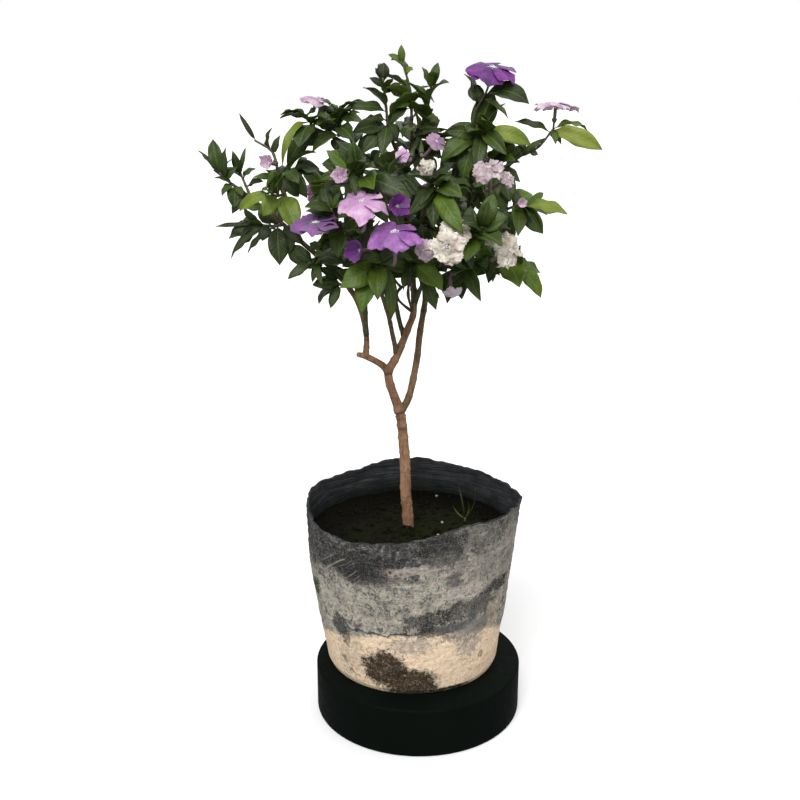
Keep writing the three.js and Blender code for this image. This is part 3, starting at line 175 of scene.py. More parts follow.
# The green shoots: name, limb, place on it, bend, end, number of leaves by rule, their size, and the
# leaves listed one by one, each with its place, tip, width and tone from dark to young, and its arch
# where it isn't by rule. The tones mix each leaf's own age with painted light and shade: lit leaves are
# set paler, shaded ones darker.
SHOOTS = (
    ("far_left", "left_limb", 1.0, (-148, -20, 464), (-159, -20, 473), 2, 24,
     ((0.95, (-170, -22, 488), 4, 0.3), (0.8, (-159, -18, 496), 10, 0.3),
      (0.6, (-148, -27, 490), 8, 0.25), (0.3, (-151, -36, 455), 7, 0.3),
      (0.1, (-143, -32, 445), 11, 0.35))),
    ("left_tall", "left_limb", 0.92, (-136, -12, 460), (-141, -6, 470), 2, 24,
     ((0.9, (-145, -14, 487), 7, 0.25), (0.97, (-136, -6, 489), 4, 0.3),
      (0.7, (-128, -10, 473), 7, 0.3), (0.15, (-151, -22, 455), 10, 0.45))),
    ("wisp", "left_up", 1.0, (-112, -34, 488), (-125, -32, 496), 1, 18,
     ((0.95, (-136, -32, 516), 4, 0.15), (0.7, (-116, -24, 496), 3, 0.15),
      (0.4, (-105, -40, 500), 6, 0.3))),
    ("bright_left", "left_up", 0.61, (-108, -52, 457), (-113, -58, 462), 0, 26,
     ((0.12, (-91, -66, 433), 14, 0.72), (0.9, (-108, -62, 477), 6, 0.55),
      (0.97, (-119, -50, 460), 6, 0.45), (0.6, (-136, -48, 445), 10, 0.78),
      (0.8, (-99, -60, 475), 6, 0.55), (0.4, (-116, -66, 444), 11, 0.7))),
    ("left_dark", "left_limb", 0.76, (-114, -28, 431), (-126, -20, 431), 2, 34,
     ((0.97, (-162, -12, 428), 4, 0.12), (0.85, (-151, -14, 419), 10, 0.15),
      (0.65, (-149, -22, 405), 8, 0.18), (0.5, (-134, -30, 410), 7, 0.15),
      (0.2, (-93, -46, 401), 15, 0.2), (0.9, (-144, 2, 431), 9, 0.2),
      (0.6, (-122, -32, 420), 9, 0.12))),
    ("left_low", "left_limb", 0.56, (-80, -40, 405), (-85, -44, 405), 1, 30,
     ((0.8, (-101, -50, 394), 8, 0.32), (0.4, (-74, -58, 391), 7, 0.38),
      (0.2, (-57, -58, 408), 11, 0.3))),
    ("low_left", "left_limb", 0.41, (-60, -32, 386), (-63, -38, 388), 1, 26,
     ((0.5, (-83, -40, 388), 10, 0.3), (0.95, (-69, -46, 370), 8, 0.35))),
    ("front_low", "left_front", 1.0, (-34, -62, 406), (-25, -68, 409), 1, 34,
     ((0.6, (-59, -80, 393), 14, 0.62), (0.3, (-43, -84, 375), 14, 0.6),
      (0.75, (-31, -88, 386), 12, 0.5), (0.97, (-21, -74, 368), 9, 0.42),
      (0.9, (-49, -88, 414), 10, 0.4))),
    ("upper_left", "upper_left", 1.0, (-83, -27, 509), (-86, -30, 514), 1, 30,
     ((0.5, (-103, -46, 478), 7, 0.74, 0.3), (0.95, (-99, -24, 516), 8, 0.3),
      (0.2, (-90, -52, 492), 14, 0.3), (0.8, (-95, -44, 503), 8, 0.55, 0.2))),
    ("upper_mid", "upper_left", 0.7, (-63, -24, 506), (-61, -26, 516), 2, 32,
     ((0.6, (-77, -44, 508), 10, 0.4), (0.8, (-43, -42, 511), 8, 0.3), (0.4, (-49, -52, 498), 10, 0.3),
      (0.95, (-72, -10, 520), 8, 0.28), (0.05, (-81, -38, 488), 10, 0.42, 0.2))),
    ("left_inner", "left_up", 0.84, (-101, -32, 473), (-94, -24, 475), 1, 28,
     ((0.7, (-77, -20, 474), 10, 0.25), (0.95, (-88, -12, 482), 7, 0.25),
      (0.4, (-90, -48, 465), 9, 0.35), (0.6, (-102, -40, 455), 10, 0.3),
      (0.75, (-86, -34, 453), 9, 0.3))),
    ("mid_left", "front_left", 1.0, (-60, -72, 440), (-65, -76, 451), 1, 28,
     ((0.95, (-72, -76, 469), 6, 0.3), (0.9, (-60, -86, 465), 6, 0.35), (0.5, (-51, -96, 448), 9, 0.3),
      (0.3, (-66, -88, 433), 8, 0.25), (0.1, (-60, -78, 415), 11, 0.38))),
    ("centre_left", "front_up", 1.0, (-44, -76, 474), (-50, -84, 478), 2, 34,
     ((0.25, (-6, -92, 461), 12, 0.22), (0.6, (-73, -80, 472), 9, 0.35),
      (0.5, (-32, -98, 483), 10, 0.3), (0.9, (-50, -104, 467), 8, 0.25),
      (0.05, (-23, -86, 441), 11, 0.3))),
    ("centre", "front_mid", 1.0, (9, -60, 465), (13, -68, 462), 2, 36,
     ((0.9, (31, -96, 435), 11, 0.6), (0.3, (0, -86, 455), 10, 0.25), (0.5, (20, -84, 478), 10, 0.3),
      (0.6, (-9, -92, 448), 9, 0.2), (0.8, (30, -86, 461), 11, 0.4), (0.2, (10, -80, 437), 11, 0.3))),
    ("centre_low", "front_right", 0.32, (0, -46, 400), (-7, -62, 409), 2, 30,
     ((0.9, (17, -80, 391), 14, 0.55), (0.3, (13, -46, 369), 9, 0.4), (0.7, (-23, -96, 422), 9, 0.4),
      (0.95, (-12, -84, 392), 8, 0.35), (0.5, (-23, -54, 396), 9, 0.3))),
    ("low_right_a", "right_low", 0.67, (39, -10, 397), (33, -22, 396), 2, 34,
     ((0.8, (47, -42, 376), 10, 0.4), (0.5, (21, -20, 381), 10, 0.35),
      (0.95, (20, -56, 408), 10, 0.4))),
    ("low_right_b", "right_low", 1.0, (67, -20, 404), (74, -28, 402), 1, 32,
     ((0.5, (76, -50, 388), 17, 0.62), (0.95, (95, -30, 376), 11, 0.6), (0.9, (96, -14, 393), 10, 0.4),
      (0.25, (53, -34, 388), 10, 0.3), (0.1, (44, -20, 391), 10, 0.35))),
    ("mid_right_front", "front_right", 1.0, (41, -70, 432), (46, -76, 438), 1, 34,
     ((0.5, (59, -94, 427), 14, 0.35), (0.25, (33, -92, 415), 14, 0.5), (0.85, (63, -80, 446), 14, 0.4),
      (0.95, (49, -86, 458), 10, 0.35), (0.1, (37, -62, 451), 11, 0.3))),
    ("right_mid", "right_mid", 1.0, (74, -9, 444), (83, -12, 445), 1, 34,
     ((0.97, (115, -14, 439), 10, 0.78), (0.7, (96, -18, 424), 11, 0.35),
      (0.35, (88, 0, 453), 14, 0.62), (0.9, (98, 6, 453), 6, 0.5), (0.5, (75, -36, 425), 10, 0.4),
      (0.1, (51, -18, 459), 14, 0.35))),
    ("right_upper", "f2_limb", 0.5, (57, -4, 473), (51, -12, 480), 1, 34,
     ((0.5, (72, -24, 481), 14, 0.4), (0.95, (36, -28, 489), 10, 0.4), (0.3, (78, -6, 463), 10, 0.3),
      (0.15, (71, -14, 447), 14, 0.3), (0.4, (53, -32, 446), 13, 0.35))),
    ("f2_stalk", "f2_limb", 1.0, (91, 2, 488), (103, 0, 503), 0, 30,
     ((0.93, (141, -6, 488), 12, 0.92, 0.14), (0.99, (131, 6, 501), 8, 0.7, 0.2),
      (0.9, (73, 4, 508), 6, 0.3, 0.16), (0.96, (104, -10, 492), 6, 0.45), (0.25, (72, 4, 496), 5, 0.3),
      (0.3, (92, 2, 483), 5, 0.4))),
    ("right_arc", "f1_limb", 0.85, (46, -8, 499), (51, -12, 500), 0, 34,
     ((0.8, (85, -14, 491), 11, 0.86, 0.24), (0.3, (19, -12, 502), 12, 0.35),
      (0.6, (65, -34, 486), 11, 0.35), (0.2, (15, -22, 479), 14, 0.4), (0.1, (30, -26, 466), 14, 0.4),
      (0.4, (42, -34, 474), 10, 0.3))),
    ("f1_stalk", "f1_limb", 1.0, (42, -7, 516), (50, -10, 531), 0, 30,
     ((0.9, (82, -16, 523), 14, 0.2, 0.2), (0.7, (39, -2, 536), 10, 0.3),
      (0.8, (66, -26, 512), 6, 0.25))),
    ("top_centre", "leader", 1.0, (-8, 0, 530), (-14, 0, 552), 2, 22,
     ((0.98, (-15, 0, 565), 6, 0.55), (0.94, (-25, 3, 558), 6, 0.5), (0.85, (-6, -4, 547), 6, 0.6),
      (0.35, (-21, -8, 519), 9, 0.45), (0.6, (-18, 6, 538), 6, 0.5))),
    ("top_left", "up_left", 1.0, (-27, -7, 523), (-29, -8, 541), 2, 26,
     ((0.97, (-28, -8, 552), 9, 0.05), (0.9, (-35, -2, 548), 6, 0.08), (0.8, (-39, -12, 541), 6, 0.06),
      (0.65, (-15, -4, 537), 7, 0.15), (0.3, (-59, -18, 518), 9, 0.3, 0.16),
      (0.12, (-43, -30, 511), 7, 0.2), (0.03, (-52, -26, 501), 11, 0.25),
      (0.01, (-44, -30, 487), 11, 0.3), (0.06, (-29, -34, 485), 10, 0.25))),
    ("top_right", "leader", 0.93, (4, -5, 514), (8, -7, 536), 1, 26,
     ((0.98, (13, -7, 552), 8, 0.4), (0.92, (1, -3, 549), 6, 0.35), (0.7, (-6, -10, 536), 6, 0.45),
      (0.75, (10, -2, 523), 7, 0.3), (0.4, (14, -10, 507), 8, 0.4), (0.3, (-2, -22, 516), 10, 0.35),
      (0.1, (-14, -24, 499), 10, 0.3))),
    ("back_left_a", "back_left", 1.0, (-70, 74, 437), (-79, 80, 441), 8, 44, ()),
    ("back_left_b", "back_left", 0.74, (-58, 60, 398), (-77, 62, 401), 7, 42,
     ((0.1, (-32, 44, 365), 12, 0.35),)),
    ("back_a", "back", 1.0, (-23, 90, 449), (-30, 88, 465), 8, 44, ()),
    ("back_b", "back", 0.6, (-9, 84, 415), (0, 98, 424), 8, 46, ()),
    ("back_right_a", "back_right", 1.0, (41, 82, 438), (51, 78, 449), 8, 44, ()),
    ("back_right_b", "back_right", 0.61, (43, 62, 407), (62, 54, 411), 8, 44, ()),
    ("back_top", "leader", 0.88, (-4, 20, 485), (6, 40, 490), 8, 38, ()),
)

# The blooms: name, shoot, place on its stem, centre, face, radius, age, form
BLOOMS = (
    ("top_purple", "f1_stalk", 0.99, (54, -12, 549), (0.08, -0.38, 0.92), 20.5, "purple", "arched"),
    ("right_pale", "f2_stalk", 0.99, (104, 0, 522), (0.05, 0.04, 1.0), 19.5, "pale", "arched"),
    ("upper_left", "upper_left", 0.97, (-79, -26, 527), (0.1, -0.1, 0.98), 12.5, "pale", "arched"),
    ("right_white", "right_upper", 0.6, (50, -58, 479), (-0.1, -0.45, 0.88), 14.5, "fading", "arched"),
    ("centre_pink", "mid_left", 0.1, (-41, -104, 460), (-0.05, -0.42, 0.9), 19.5, "lilac", "starred"),
    ("half_open", "centre_left", 0.3, (-16, -104, 456), (0.25, -0.9, 0.2), 10.5, "purple", "cup"),
    ("centre_lilac", "front_low", 0.9, (-18, -108, 439), (0.0, -0.42, 0.9), 20.5, "violet", "starred"),
    ("left_side", "mid_left", 0.6, (-76, -84, 442), (-0.1, -0.3, 0.95), 18.5, "purple", "open"),
    ("white_front", "centre_low", 0.85, (19, -112, 429), (0.05, -0.97, 0.15), 16, "white", "open"),
    ("white_upper", "mid_right_front", 0.6, (27, -90, 437), (0.3, -0.8, 0.5), 14, "white", "open"),
    ("white_drooping", "low_right_b", 0.3, (67, -70, 420), (0.45, -0.8, 0.4), 17, "white", "droop"),
    ("white_hanging", "centre", 0.2, (5, -88, 479), (0.1, -0.85, -0.2), 10.5, "white", "hanging"),
    ("small_left", "centre_left", 0.99, (-55, -112, 477), (-0.1, -0.9, 0.3), 8, "pale", "cup"),
    ("far_left", "wisp", 0.3, (-112, -50, 481), (-0.4, -0.8, 0.2), 7.5, "pale", "cup"),
    ("behind_lilac", "top_right", 0.15, (12, -40, 496), (0.5, -0.6, 0.6), 9, "lilac", "open"),
    ("bud_right", "right_mid", 0.7, (76, -46, 451), (0.1, -0.95, 0.2), 5, "pale", "cup"),
    ("low_right", "low_right_a", 0.9, (25, -50, 381), (0.1, -0.6, -0.75), 9, "violet", "droop"),
    ("under_lilac", "centre_low", 0.95, (3, -98, 424), (-0.3, -0.9, 0.1), 10, "fading", "droop"),
    ("low_purple", "front_low", 0.3, (-44, -82, 421), (-0.5, -0.8, 0.1), 11, "purple", "cup"),
    ("back_violet", "back_b", 0.98, (3, 118, 434), (0.15, 0.85, 0.45), 20, "violet", "open"),
    ("back_pale", "back_left_a", 0.98, (-86, 94, 448), (-0.5, 0.7, 0.5), 18, "lilac", "open"),
    ("back_white", "back_right_b", 0.98, (70, 66, 418), (0.7, 0.6, 0.35), 17, "white", "open"),
)

# How many small filling leaves each shoot of the crown has; the others have the usual number
FILLING_USUAL = 7
FILLING = {
    "far_left": 0, "left_tall": 0, "wisp": 0, "bright_left": 2, "left_dark": 3, "left_low": 2,
    "low_left": 1, "front_low": 3, "upper_left": 3, "upper_mid": 6, "left_inner": 5, "f2_stalk": 0,
    "f1_stalk": 1, "top_centre": 3, "top_left": 4, "top_right": 5, "low_right_b": 3, "right_mid": 4,
    "back_a": 12, "back_b": 12, "back_left_a": 12, "back_left_b": 12, "back_right_a": 12,
    "back_right_b": 12,
}

# Small leaves that close the gaps between the shoots, listed one by one: the limb or shoot (with a star)
# that bears each, the place on it, the tip, the width and the tone; the lowest tones, deep in the crown
# round the leader, are painted shade.
SMALL_LEAVES = (
    ("far_left*", 0.31, (-157, -30, 468), 6, 0.25), ("far_left*", 0.08, (-136, -30, 454), 7, 0.35),
    ("left_up", 0.86, (-125, -48, 470), 6, 0.35), ("left_up", 0.77, (-115, -50, 476), 5, 0.4),
    ("upper_left*", 0.19, (-102, -24, 476), 10, 0.25),
    ("upper_left", 0.94, (-93, -14, 483), 9, 0.18), ("upper_left", 0.85, (-87, -30, 492), 9, 0.3),
    ("upper_left", 0.76, (-63, -26, 487), 8, 0.2), ("upper_left", 0.59, (-46, -4, 500), 9, 0.3),
    ("upper_left", 0.49, (-41, -22, 500), 8, 0.2), ("upper_left", 0.38, (-30, -26, 488), 9, 0.25),
    ("top_left*", 0.07, (-9, -2, 518), 9, 0.28), ("top_left*", 0.12, (-18, -16, 495), 9, 0.2),
    ("up_left", 0.96, (-37, -16, 494), 9, 0.32), ("top_right*", 0.26, (15, 2, 509), 10, 0.35),
    ("top_right*", 0.15, (15, -14, 497), 10, 0.3), ("f1_limb", 0.79, (15, -14, 476), 12, 0.18),
    ("right_stem", 0.75, (29, 0, 480), 12, 0.12), ("f1_limb", 0.67, (23, -8, 487), 11, 0.22),
    ("leader", 0.8, (6, -30, 465), 9, 0.15), ("leader", 0.76, (-27, -30, 465), 9, 0.12),
    ("f2_limb", 0.79, (82, 2, 490), 9, 0.3), ("f2_limb", 0.66, (77, -4, 478), 9, 0.3),
    ("f2_stalk*", 0.07, (97, 0, 496), 5, 0.3), ("f2_stalk*", 0.96, (127, 4, 493), 8, 0.35),
    ("f2_stalk*", 0.88, (109, -6, 492), 7, 0.3), ("left_dark*", 0.04, (-91, -44, 420), 8, 0.2),
    ("left_limb", 0.84, (-124, -36, 441), 8, 0.3), ("left_limb", 0.87, (-133, -34, 446), 8, 0.4),
    ("front_left", 0.49, (-42, -62, 429), 10, 0.15), ("front_left", 0.67, (-40, -72, 440), 9, 0.18),
    ("leader", 0.62, (-18, -40, 439), 9, 0.12), ("left_front", 0.72, (-63, -56, 402), 10, 0.22),
    ("left_limb", 0.39, (-69, -44, 404), 9, 0.2), ("front_right", 0.51, (20, -52, 400), 9, 0.2),
    ("right_low", 0.33, (22, -8, 367), 10, 0.3), ("right_low", 0.42, (34, -6, 369), 10, 0.35),
    ("right_mid*", 0.0, (72, -20, 423), 10, 0.25), ("right_mid", 0.88, (66, -30, 432), 10, 0.3),
    ("left_dark*", 0.84, (-141, -22, 414), 10, 0.15),
    ("left_dark*", 1.0, (-147, -18, 425), 9, 0.12), ("left_limb", 0.44, (-79, -36, 400), 8, 0.25),
    ("left_limb", 0.55, (-83, -46, 391), 7, 0.2), ("front_left", 0.94, (-33, -67, 441), 9, 0.2),
    ("front_left", 0.76, (-60, -45, 403), 9, 0.22), ("upper_left", 0.15, (-5, -21, 464), 10, 0.15),
    ("f1_limb", 0.53, (21, -11, 474), 10, 0.15), ("left_up", 0.81, (-92, -33, 454), 9, 0.3),
    ("front_up", 0.53, (-16, -44, 435), 9, 0.18), ("far_left*", 0.58, (-140, -27, 476), 7, 0.3),
    ("left_limb", 0.95, (-145, -30, 441), 8, 0.2), ("upper_left*", 0.55, (-68, -22, 502), 8, 0.2),
    ("right_mid*", 0.53, (74, -2, 458), 8, 0.3), ("right_stem", 0.57, (16, 0, 369), 8, 0.3),
    ("left_limb", 0.55, (-89, -45, 401), 8, 0.2), ("left_limb", 0.61, (-75, -50, 421), 8, 0.2),
    ("right_mid", 0.77, (42, -11, 445), 9, 0.2), ("left_up", 0.15, (-102, -37, 411), 8, 0.2),
    ("front_mid", 0.39, (26, -20, 423), 8, 0.18), ("front_mid", 0.55, (12, -19, 428), 8, 0.18),
    ("low_right_a*", 0.52, (39, -27, 409), 8, 0.2), ("f1_limb", 0.32, (49, -10, 454), 8, 0.2),
    ("left_low*", 0.37, (-71, -47, 419), 7, 0.2), ("front_mid", 0.13, (-15, -23, 394), 10, 0.06),
    ("centre_low*", 0.13, (-13, -16, 395), 10, 0.05),
    ("front_right", 0.32, (-5, -5, 391), 10, 0.06), ("centre_low*", 0.34, (-18, -29, 404), 9, 0.08),
    ("front_left", 0.63, (-18, -31, 403), 9, 0.1), ("centre_low*", 0.16, (5, -11, 399), 9, 0.08),
    ("front_mid", 0.34, (-19, -36, 429), 10, 0.08), ("front_mid", 0.63, (9, -16, 457), 10, 0.08),
    ("front_mid", 0.48, (-4, -21, 456), 10, 0.06), ("front_mid", 0.52, (21, -18, 442), 10, 0.08),
    ("front_mid", 0.5, (5, -30, 411), 10, 0.07), ("front_mid", 0.57, (19, -14, 450), 10, 0.1),
    ("front_mid", 0.5, (27, -18, 438), 9, 0.1), ("front_left", 0.81, (-25, -49, 415), 8, 0.12),
    ("front_low*", 0.19, (-52, -45, 409), 8, 0.12), ("front_left", 0.77, (-24, -50, 422), 9, 0.1),
)

# Small blooms half hidden among the leaves, told as the blooms above
SMALL_BLOOMS = (
    ("hidden", "top_right", 0.08, (-14, -34, 485), (-0.3, -0.9, 0.3), 6.5, "lilac", "open"),
    ("second", "right_upper", 0.7, (65, -56, 471), (0.5, -0.6, 0.4), 8.5, "fading", "droop"),
    ("scrap", "mid_right_front", 0.4, (52, -66, 428), (-0.3, -0.8, 0.5), 7, "white", "droop"),
)

# How the five lobes of each form stand: their bend out of the flat, their spread and their width
FORMS = {
    "open": (-0.06, 1.0, 0.55),
    "droop": (-0.42, 0.94, 0.52),
    "arched": (-0.22, 0.98, 0.6),
    "starred": (-0.26, 1.0, 0.48),
    "hanging": (-0.9, 0.72, 0.5),
    "cup": (0.95, 0.8, 0.56),
}

# Painted light and shade on single blooms: above a half a bloom is painted paler (painted light) and
# below a half greyer (painted shade) than others of its age
BLOOM_PAINTED_LIGHT_AND_SHADE = {
    "right_pale": 0.62, "upper_left": 0.44, "right_white": 0.4, "behind_lilac": 0.12,
    "low_right": 1.0, "left_side": 0.57, "white_front": 0.56,
}

# How limp a bloom of each age is, from fresh to spent
LIMPNESS = {
    "purple": 0.0, "violet": 0.1, "lilac": 0.25, "pale": 0.4, "fading": 0.8, "white": 1.0,
}


def draw(*keys):
    """A repeatable draw between 0 and 1 for any run of whole numbers."""
    state = 2166136261
    for key in keys:
        state = ((state ^ (key + 1)) * 16777619) & 0xFFFFFFFF
        state ^= state >> 13
    state = ((state ^ (state >> 15)) * 2246822507) & 0xFFFFFFFF
    state ^= state >> 13
    return state / 4294967296


def unit(v):
    return v / norm(v)


def mix(a, b, w):
    return a + (b - a) * w


def smooth(low, high, value):
    """A soft step from 0 at low to 1 at high."""
    w = np.clip((value - low) / (high - low), 0, 1)
    return w * w * (3 - 2 * w)


def turned(v, axis, angle):
    """v turned about a unit axis."""
    return (v * cos(angle) + np.cross(axis, v) * sin(angle)
            + axis * np.dot(axis, v) * (1 - cos(angle)))


def between(a, b, c, d, w):
    """The smooth run from b to c at the share w, with a before it and d after it."""
    leave, reach = (c - a) / 2, (d - b) / 2
    return ((2 * b - 2 * c + leave + reach) * w ** 3
            + (-3 * b + 3 * c - 2 * leave - reach) * w ** 2 + leave * w + b)


class Run:
    """A smooth curve through points, evenly timed from point to point."""

    def __init__(self, points):
        self.points = [np.array(p, float) for p in points]

    def at(self, t):
        points = self.points
        last = len(points) - 1
        place = last * t
        first = min(int(place), last - 1)
        b, c = points[first], points[first + 1]
        a = points[first - 1] if first > 0 else 2 * b - c
        d = points[first + 2] if first + 2 <= last else 2 * c - b
        return between(a, b, c, d, place - first)

    def heading(self, t):
        return unit(self.at(min(1, t + 0.0001)) - self.at(max(0, t - 0.0001)))

    def length(self):
        spots = [self.at(t) for t in np.linspace(0, 1, 60)]
        return sum(norm(b - a) for a, b in zip(spots, spots[1:]))


LIMB_RUNS = {name: Run(points) for name, (_, _, points) in LIMBS.items()}
SHOOT_INDEX = {shoot[0]: i for i, shoot in enumerate(SHOOTS)}


def stem_of(shoot):
    """A shoot's stem: its curve, and where it starts clear of its limb."""
    _, limb_name, origin, bend, end = shoot[:5]
    thick, thin, _ = LIMBS[limb_name]
    limb = LIMB_RUNS[limb_name]
    foot = limb.at(origin)
    curve = Run([foot, bend, end])
    cosine = np.clip(np.dot(limb.heading(origin), curve.heading(0)), -1, 1)
    lean = acos(cosine)
    bark = mix(thick, thin, origin)
    if origin == 1:
        clear = STEM_THICK * tan(lean / 2) + GAP
    else:
        clear = (bark + STEM_THICK * cos(lean)) / max(sin(lean), 0.3)
    bend, end = np.array(bend, float), np.array(end, float)
    reach = norm(foot - bend) + norm(bend - end)
    return curve, (clear + 2 * GAP) / reach


def ruled_leaf(curve, start, key, turn_step, place, size):
    """A leaf set by rule: it turns on round the stem from the one before, and looks out of the crown."""
    root = curve.at(start + (1 - start) * place)
    along = curve.heading(start + (1 - start) * place)
    side = np.array((along[1], -along[0], 0))
    if norm(side) < 0.2:
        side = np.array((1.0, 0, 0))
    side = unit(side - along * np.dot(side, along))
    above = np.cross(side, along)
    turn = GOLDEN_TURN * turn_step + tau * draw(*key, 1)
    heading = along * 0.5 + side * 0.95 * cos(turn) + above * 0.6 * sin(turn)
    heading[2] += 0.1
    heading = unit(heading)
    length = size * (0.8 + 0.4 * draw(*key, 2)) * (1 - 0.3 * place)
    look = unit(root - CROWN_CENTRE)
    look[2] += 0.8
    arch = LEAST_ARCH + ARCH_RANGE * draw(*key, 3)
    tone = 0.16 + 0.4 * draw(*key, 6)
    return root, root + heading * length, length * BLADE_WIDTH_TO_LENGTH, arch, look, key, tone


def leaves_of(index):
    """The leaves that a shoot sets out to grow: those listed, then those by rule."""
    shoot = SHOOTS[index]
    curve, start = stem_of(shoot)
    more, size, placed = shoot[5:8]
    leaves = []
    for k, (place, tip, width, tone, *arch) in enumerate(placed):
        arch = arch[0] if arch else LEAST_ARCH + ARCH_RANGE * draw(index, k, 3)
        root = curve.at(start + (1 - start) * place)
        leaves.append((root, np.array(tip, float), width, arch, FRONT_LOOK, (index, k), tone))
    for k in range(more):
        place = 0.08 + 0.92 * (k + 0.5) / more
        leaves.append(ruled_leaf(curve, start, (index, 100 + k), k, place, size))
    return leaves


def filling_leaves(index):
    """Smaller leaves deep in the crown, darkened as painted shade, which close it behind the leaves of
    the solids.
    """
    curve, start = stem_of(SHOOTS[index])
    count = FILLING.get(SHOOTS[index][0], FILLING_USUAL)
    leaves = []
    for k in range(count):
        key = (index, 200 + k)
        leaf = ruled_leaf(curve, start, key, k, (k + 0.5) / count, FILLING_SIZE)
        shape = leaf_try(leaf, 0)
        # Low tones: painted shade for the crown's inside.
        shape["tone"] = 0.06 + 0.36 * draw(*key, 6)
        leaves.append(shape)
    return leaves


def limb_leaves(index, run):
    """Leaves in a spiral along the part of a limb that lies inside the crown, dark as painted shade."""
    leaves = []
    steps = int(run.length() / INNER_STEP)
    for i in range(1, steps):
        key = (80 + index, i)
        t = i / steps
        root, heading = run.at(t), run.heading(t)
        side = unit(np.cross(heading, (0.3, 1.0, 0.1)))
        out = turned(side, heading, GOLDEN_ANGLE * i + index)
        aim = unit(out + 0.35 * heading)
        tip = root + aim * INNER_LEAF * (0.8 + 0.4 * draw(*key, 1))
        if root[2] > CROWN_FLOOR and tip[2] > CROWN_FLOOR:
            look = unit(np.array((0, 0, 1.0)) + 0.4 * draw(*key, 2) * side)
            # Low tones: painted shade for the crown's inside.
            leaves.append((root, tip, 10.5, 0.12, look, key, 0.06 + 0.2 * draw(*key, 3)))
    return leaves


def leaf_try(leaf, attempt):
    """One try at a leaf: the first is as set, and each later one turns and shortens it further."""
    root, tip, width, arch, look, key, tone = leaf
    chord = tip - root
    length = norm(chord)
    heading = chord / length
    swing = [2 * draw(*key, 10 + attempt, axis) - 1 for axis in range(3)]
    heading = unit(heading + LEAF_SWING * attempt * np.array(swing))
    shrink = 1 - LEAF_SHRINK * attempt
    return {
        "root": root, "tip": root + heading * length * shrink, "width": width * shrink, "arch": arch,
        "look": look, "roll": 0.7 * (draw(*key, 4) - 0.5), "wave": 0.012 + 0.014 * draw(*key, 5),
        "tone": tone, "key": key,
    }


def grown_leaves(index):
    """The leaves that stand on a shoot's CAD node: each try is known by its tip on the node's mesh."""
    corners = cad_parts["shoot_" + SHOOTS[index][0]].data.vertices
    tree = kdtree.KDTree(len(corners))
    for i, corner in enumerate(corners):
        tree.insert(corner.co / MM, i)
    tree.balance()
    grown = []
    for leaf in leaves_of(index):
        for attempt in range(LEAF_TRIES):
            shape = leaf_try(leaf, attempt)
            if tree.find(Vector(shape["tip"]))[2] < TIP_MATCH:
                grown.append(shape)
                break
    return grown


def stalk_of(bloom):
    """A bloom's stalk: a curve from its shoot's stem that ends square to the bloom's face."""
    _, shoot, place, centre, face, *_ = bloom
    curve, start = stem_of(SHOOTS[SHOOT_INDEX[shoot]])
    foot = curve.at(start + (1 - start) * place)
    centre = np.array(centre, float)
    face = unit(np.array(face, float))
    reach = norm(foot - centre)
    back = centre - face * 0.5 * reach
    line = Run([foot, mix(foot, back, 0.5), back, centre])
    calyx = min(CALYX_LENGTH, 0.25 * reach) / reach
    return line, face, centre, reach, CALYX_PLACE - calyx


def rim_height(angle):
    """The rim's height round the bag, a smooth closed run through the heights named at the top."""
    count = len(BAG_RIM_HEIGHTS)
    place = (angle / tau) % 1 * count
    first = int(place)
    return between(*(BAG_RIM_HEIGHTS[(first + k) % count] for k in (-1, 0, 1, 2)), place - first)


def bag_radius(angle, share):
    """The bag's outer radius: tapered, slack and lightly folded."""
    straight = mix(BAG_BASE_RADIUS, BAG_RIM_RADIUS, share)
    belly = 3.2 * sin(pi * share) * (0.5 - 0.5 * cos(angle))
    folds = 0.9 * sin(5 * angle + 4 * share) * sin(pi * min(1, share * 1.2))
    ripple = 1.2 * share ** 3 * sin(7 * angle + 1)
    return straight + belly + folds + ripple


def in_bag(angle, radius):
    """The place across the bag at an angle and a radius from its middle."""
    return BAG_CENTRE[0] + radius * cos(angle), BAG_CENTRE[1] + radius * sin(angle)


class Heap:
    """Points, faces, finishes, UVs and tones gathered before they become one mesh."""

    def __init__(self):
        self.points, self.faces, self.finishes, self.uvs, self.tones = [], [], [], [], []
        self.count = 0

    def add(self, points, faces, finishes, uvs, tone=0.5):
        """points is an array; uvs has one pair for each corner of each face, in order."""
        self.points.append(np.asarray(points))
        self.faces += [[self.count + i for i in face] for face in faces]
        self.finishes += finishes
        self.uvs.append(np.asarray(uvs))
        self.tones.append(np.full(len(points), tone))
        self.count += len(points)

    def build(self, name, materials):
        mesh = bpy.data.meshes.new(name)
        mesh.from_pydata((np.concatenate(self.points) * MM).tolist(), [], self.faces)
        mesh.polygons.foreach_set("material_index", self.finishes)
        mesh.polygons.foreach_set("use_smooth", [True] * len(self.faces))
        layer = mesh.uv_layers.new(name="UVMap")
        layer.data.foreach_set("uv", np.concatenate(self.uvs).ravel())
        tone = mesh.attributes.new("tone", "FLOAT", "POINT")
        tone.data.foreach_set("value", np.concatenate(self.tones))
        for material in materials:
            mesh.materials.append(material)
        mesh.validate()
        piece = bpy.data.objects.new(name, mesh)
        bpy.context.collection.objects.link(piece)
        return piece


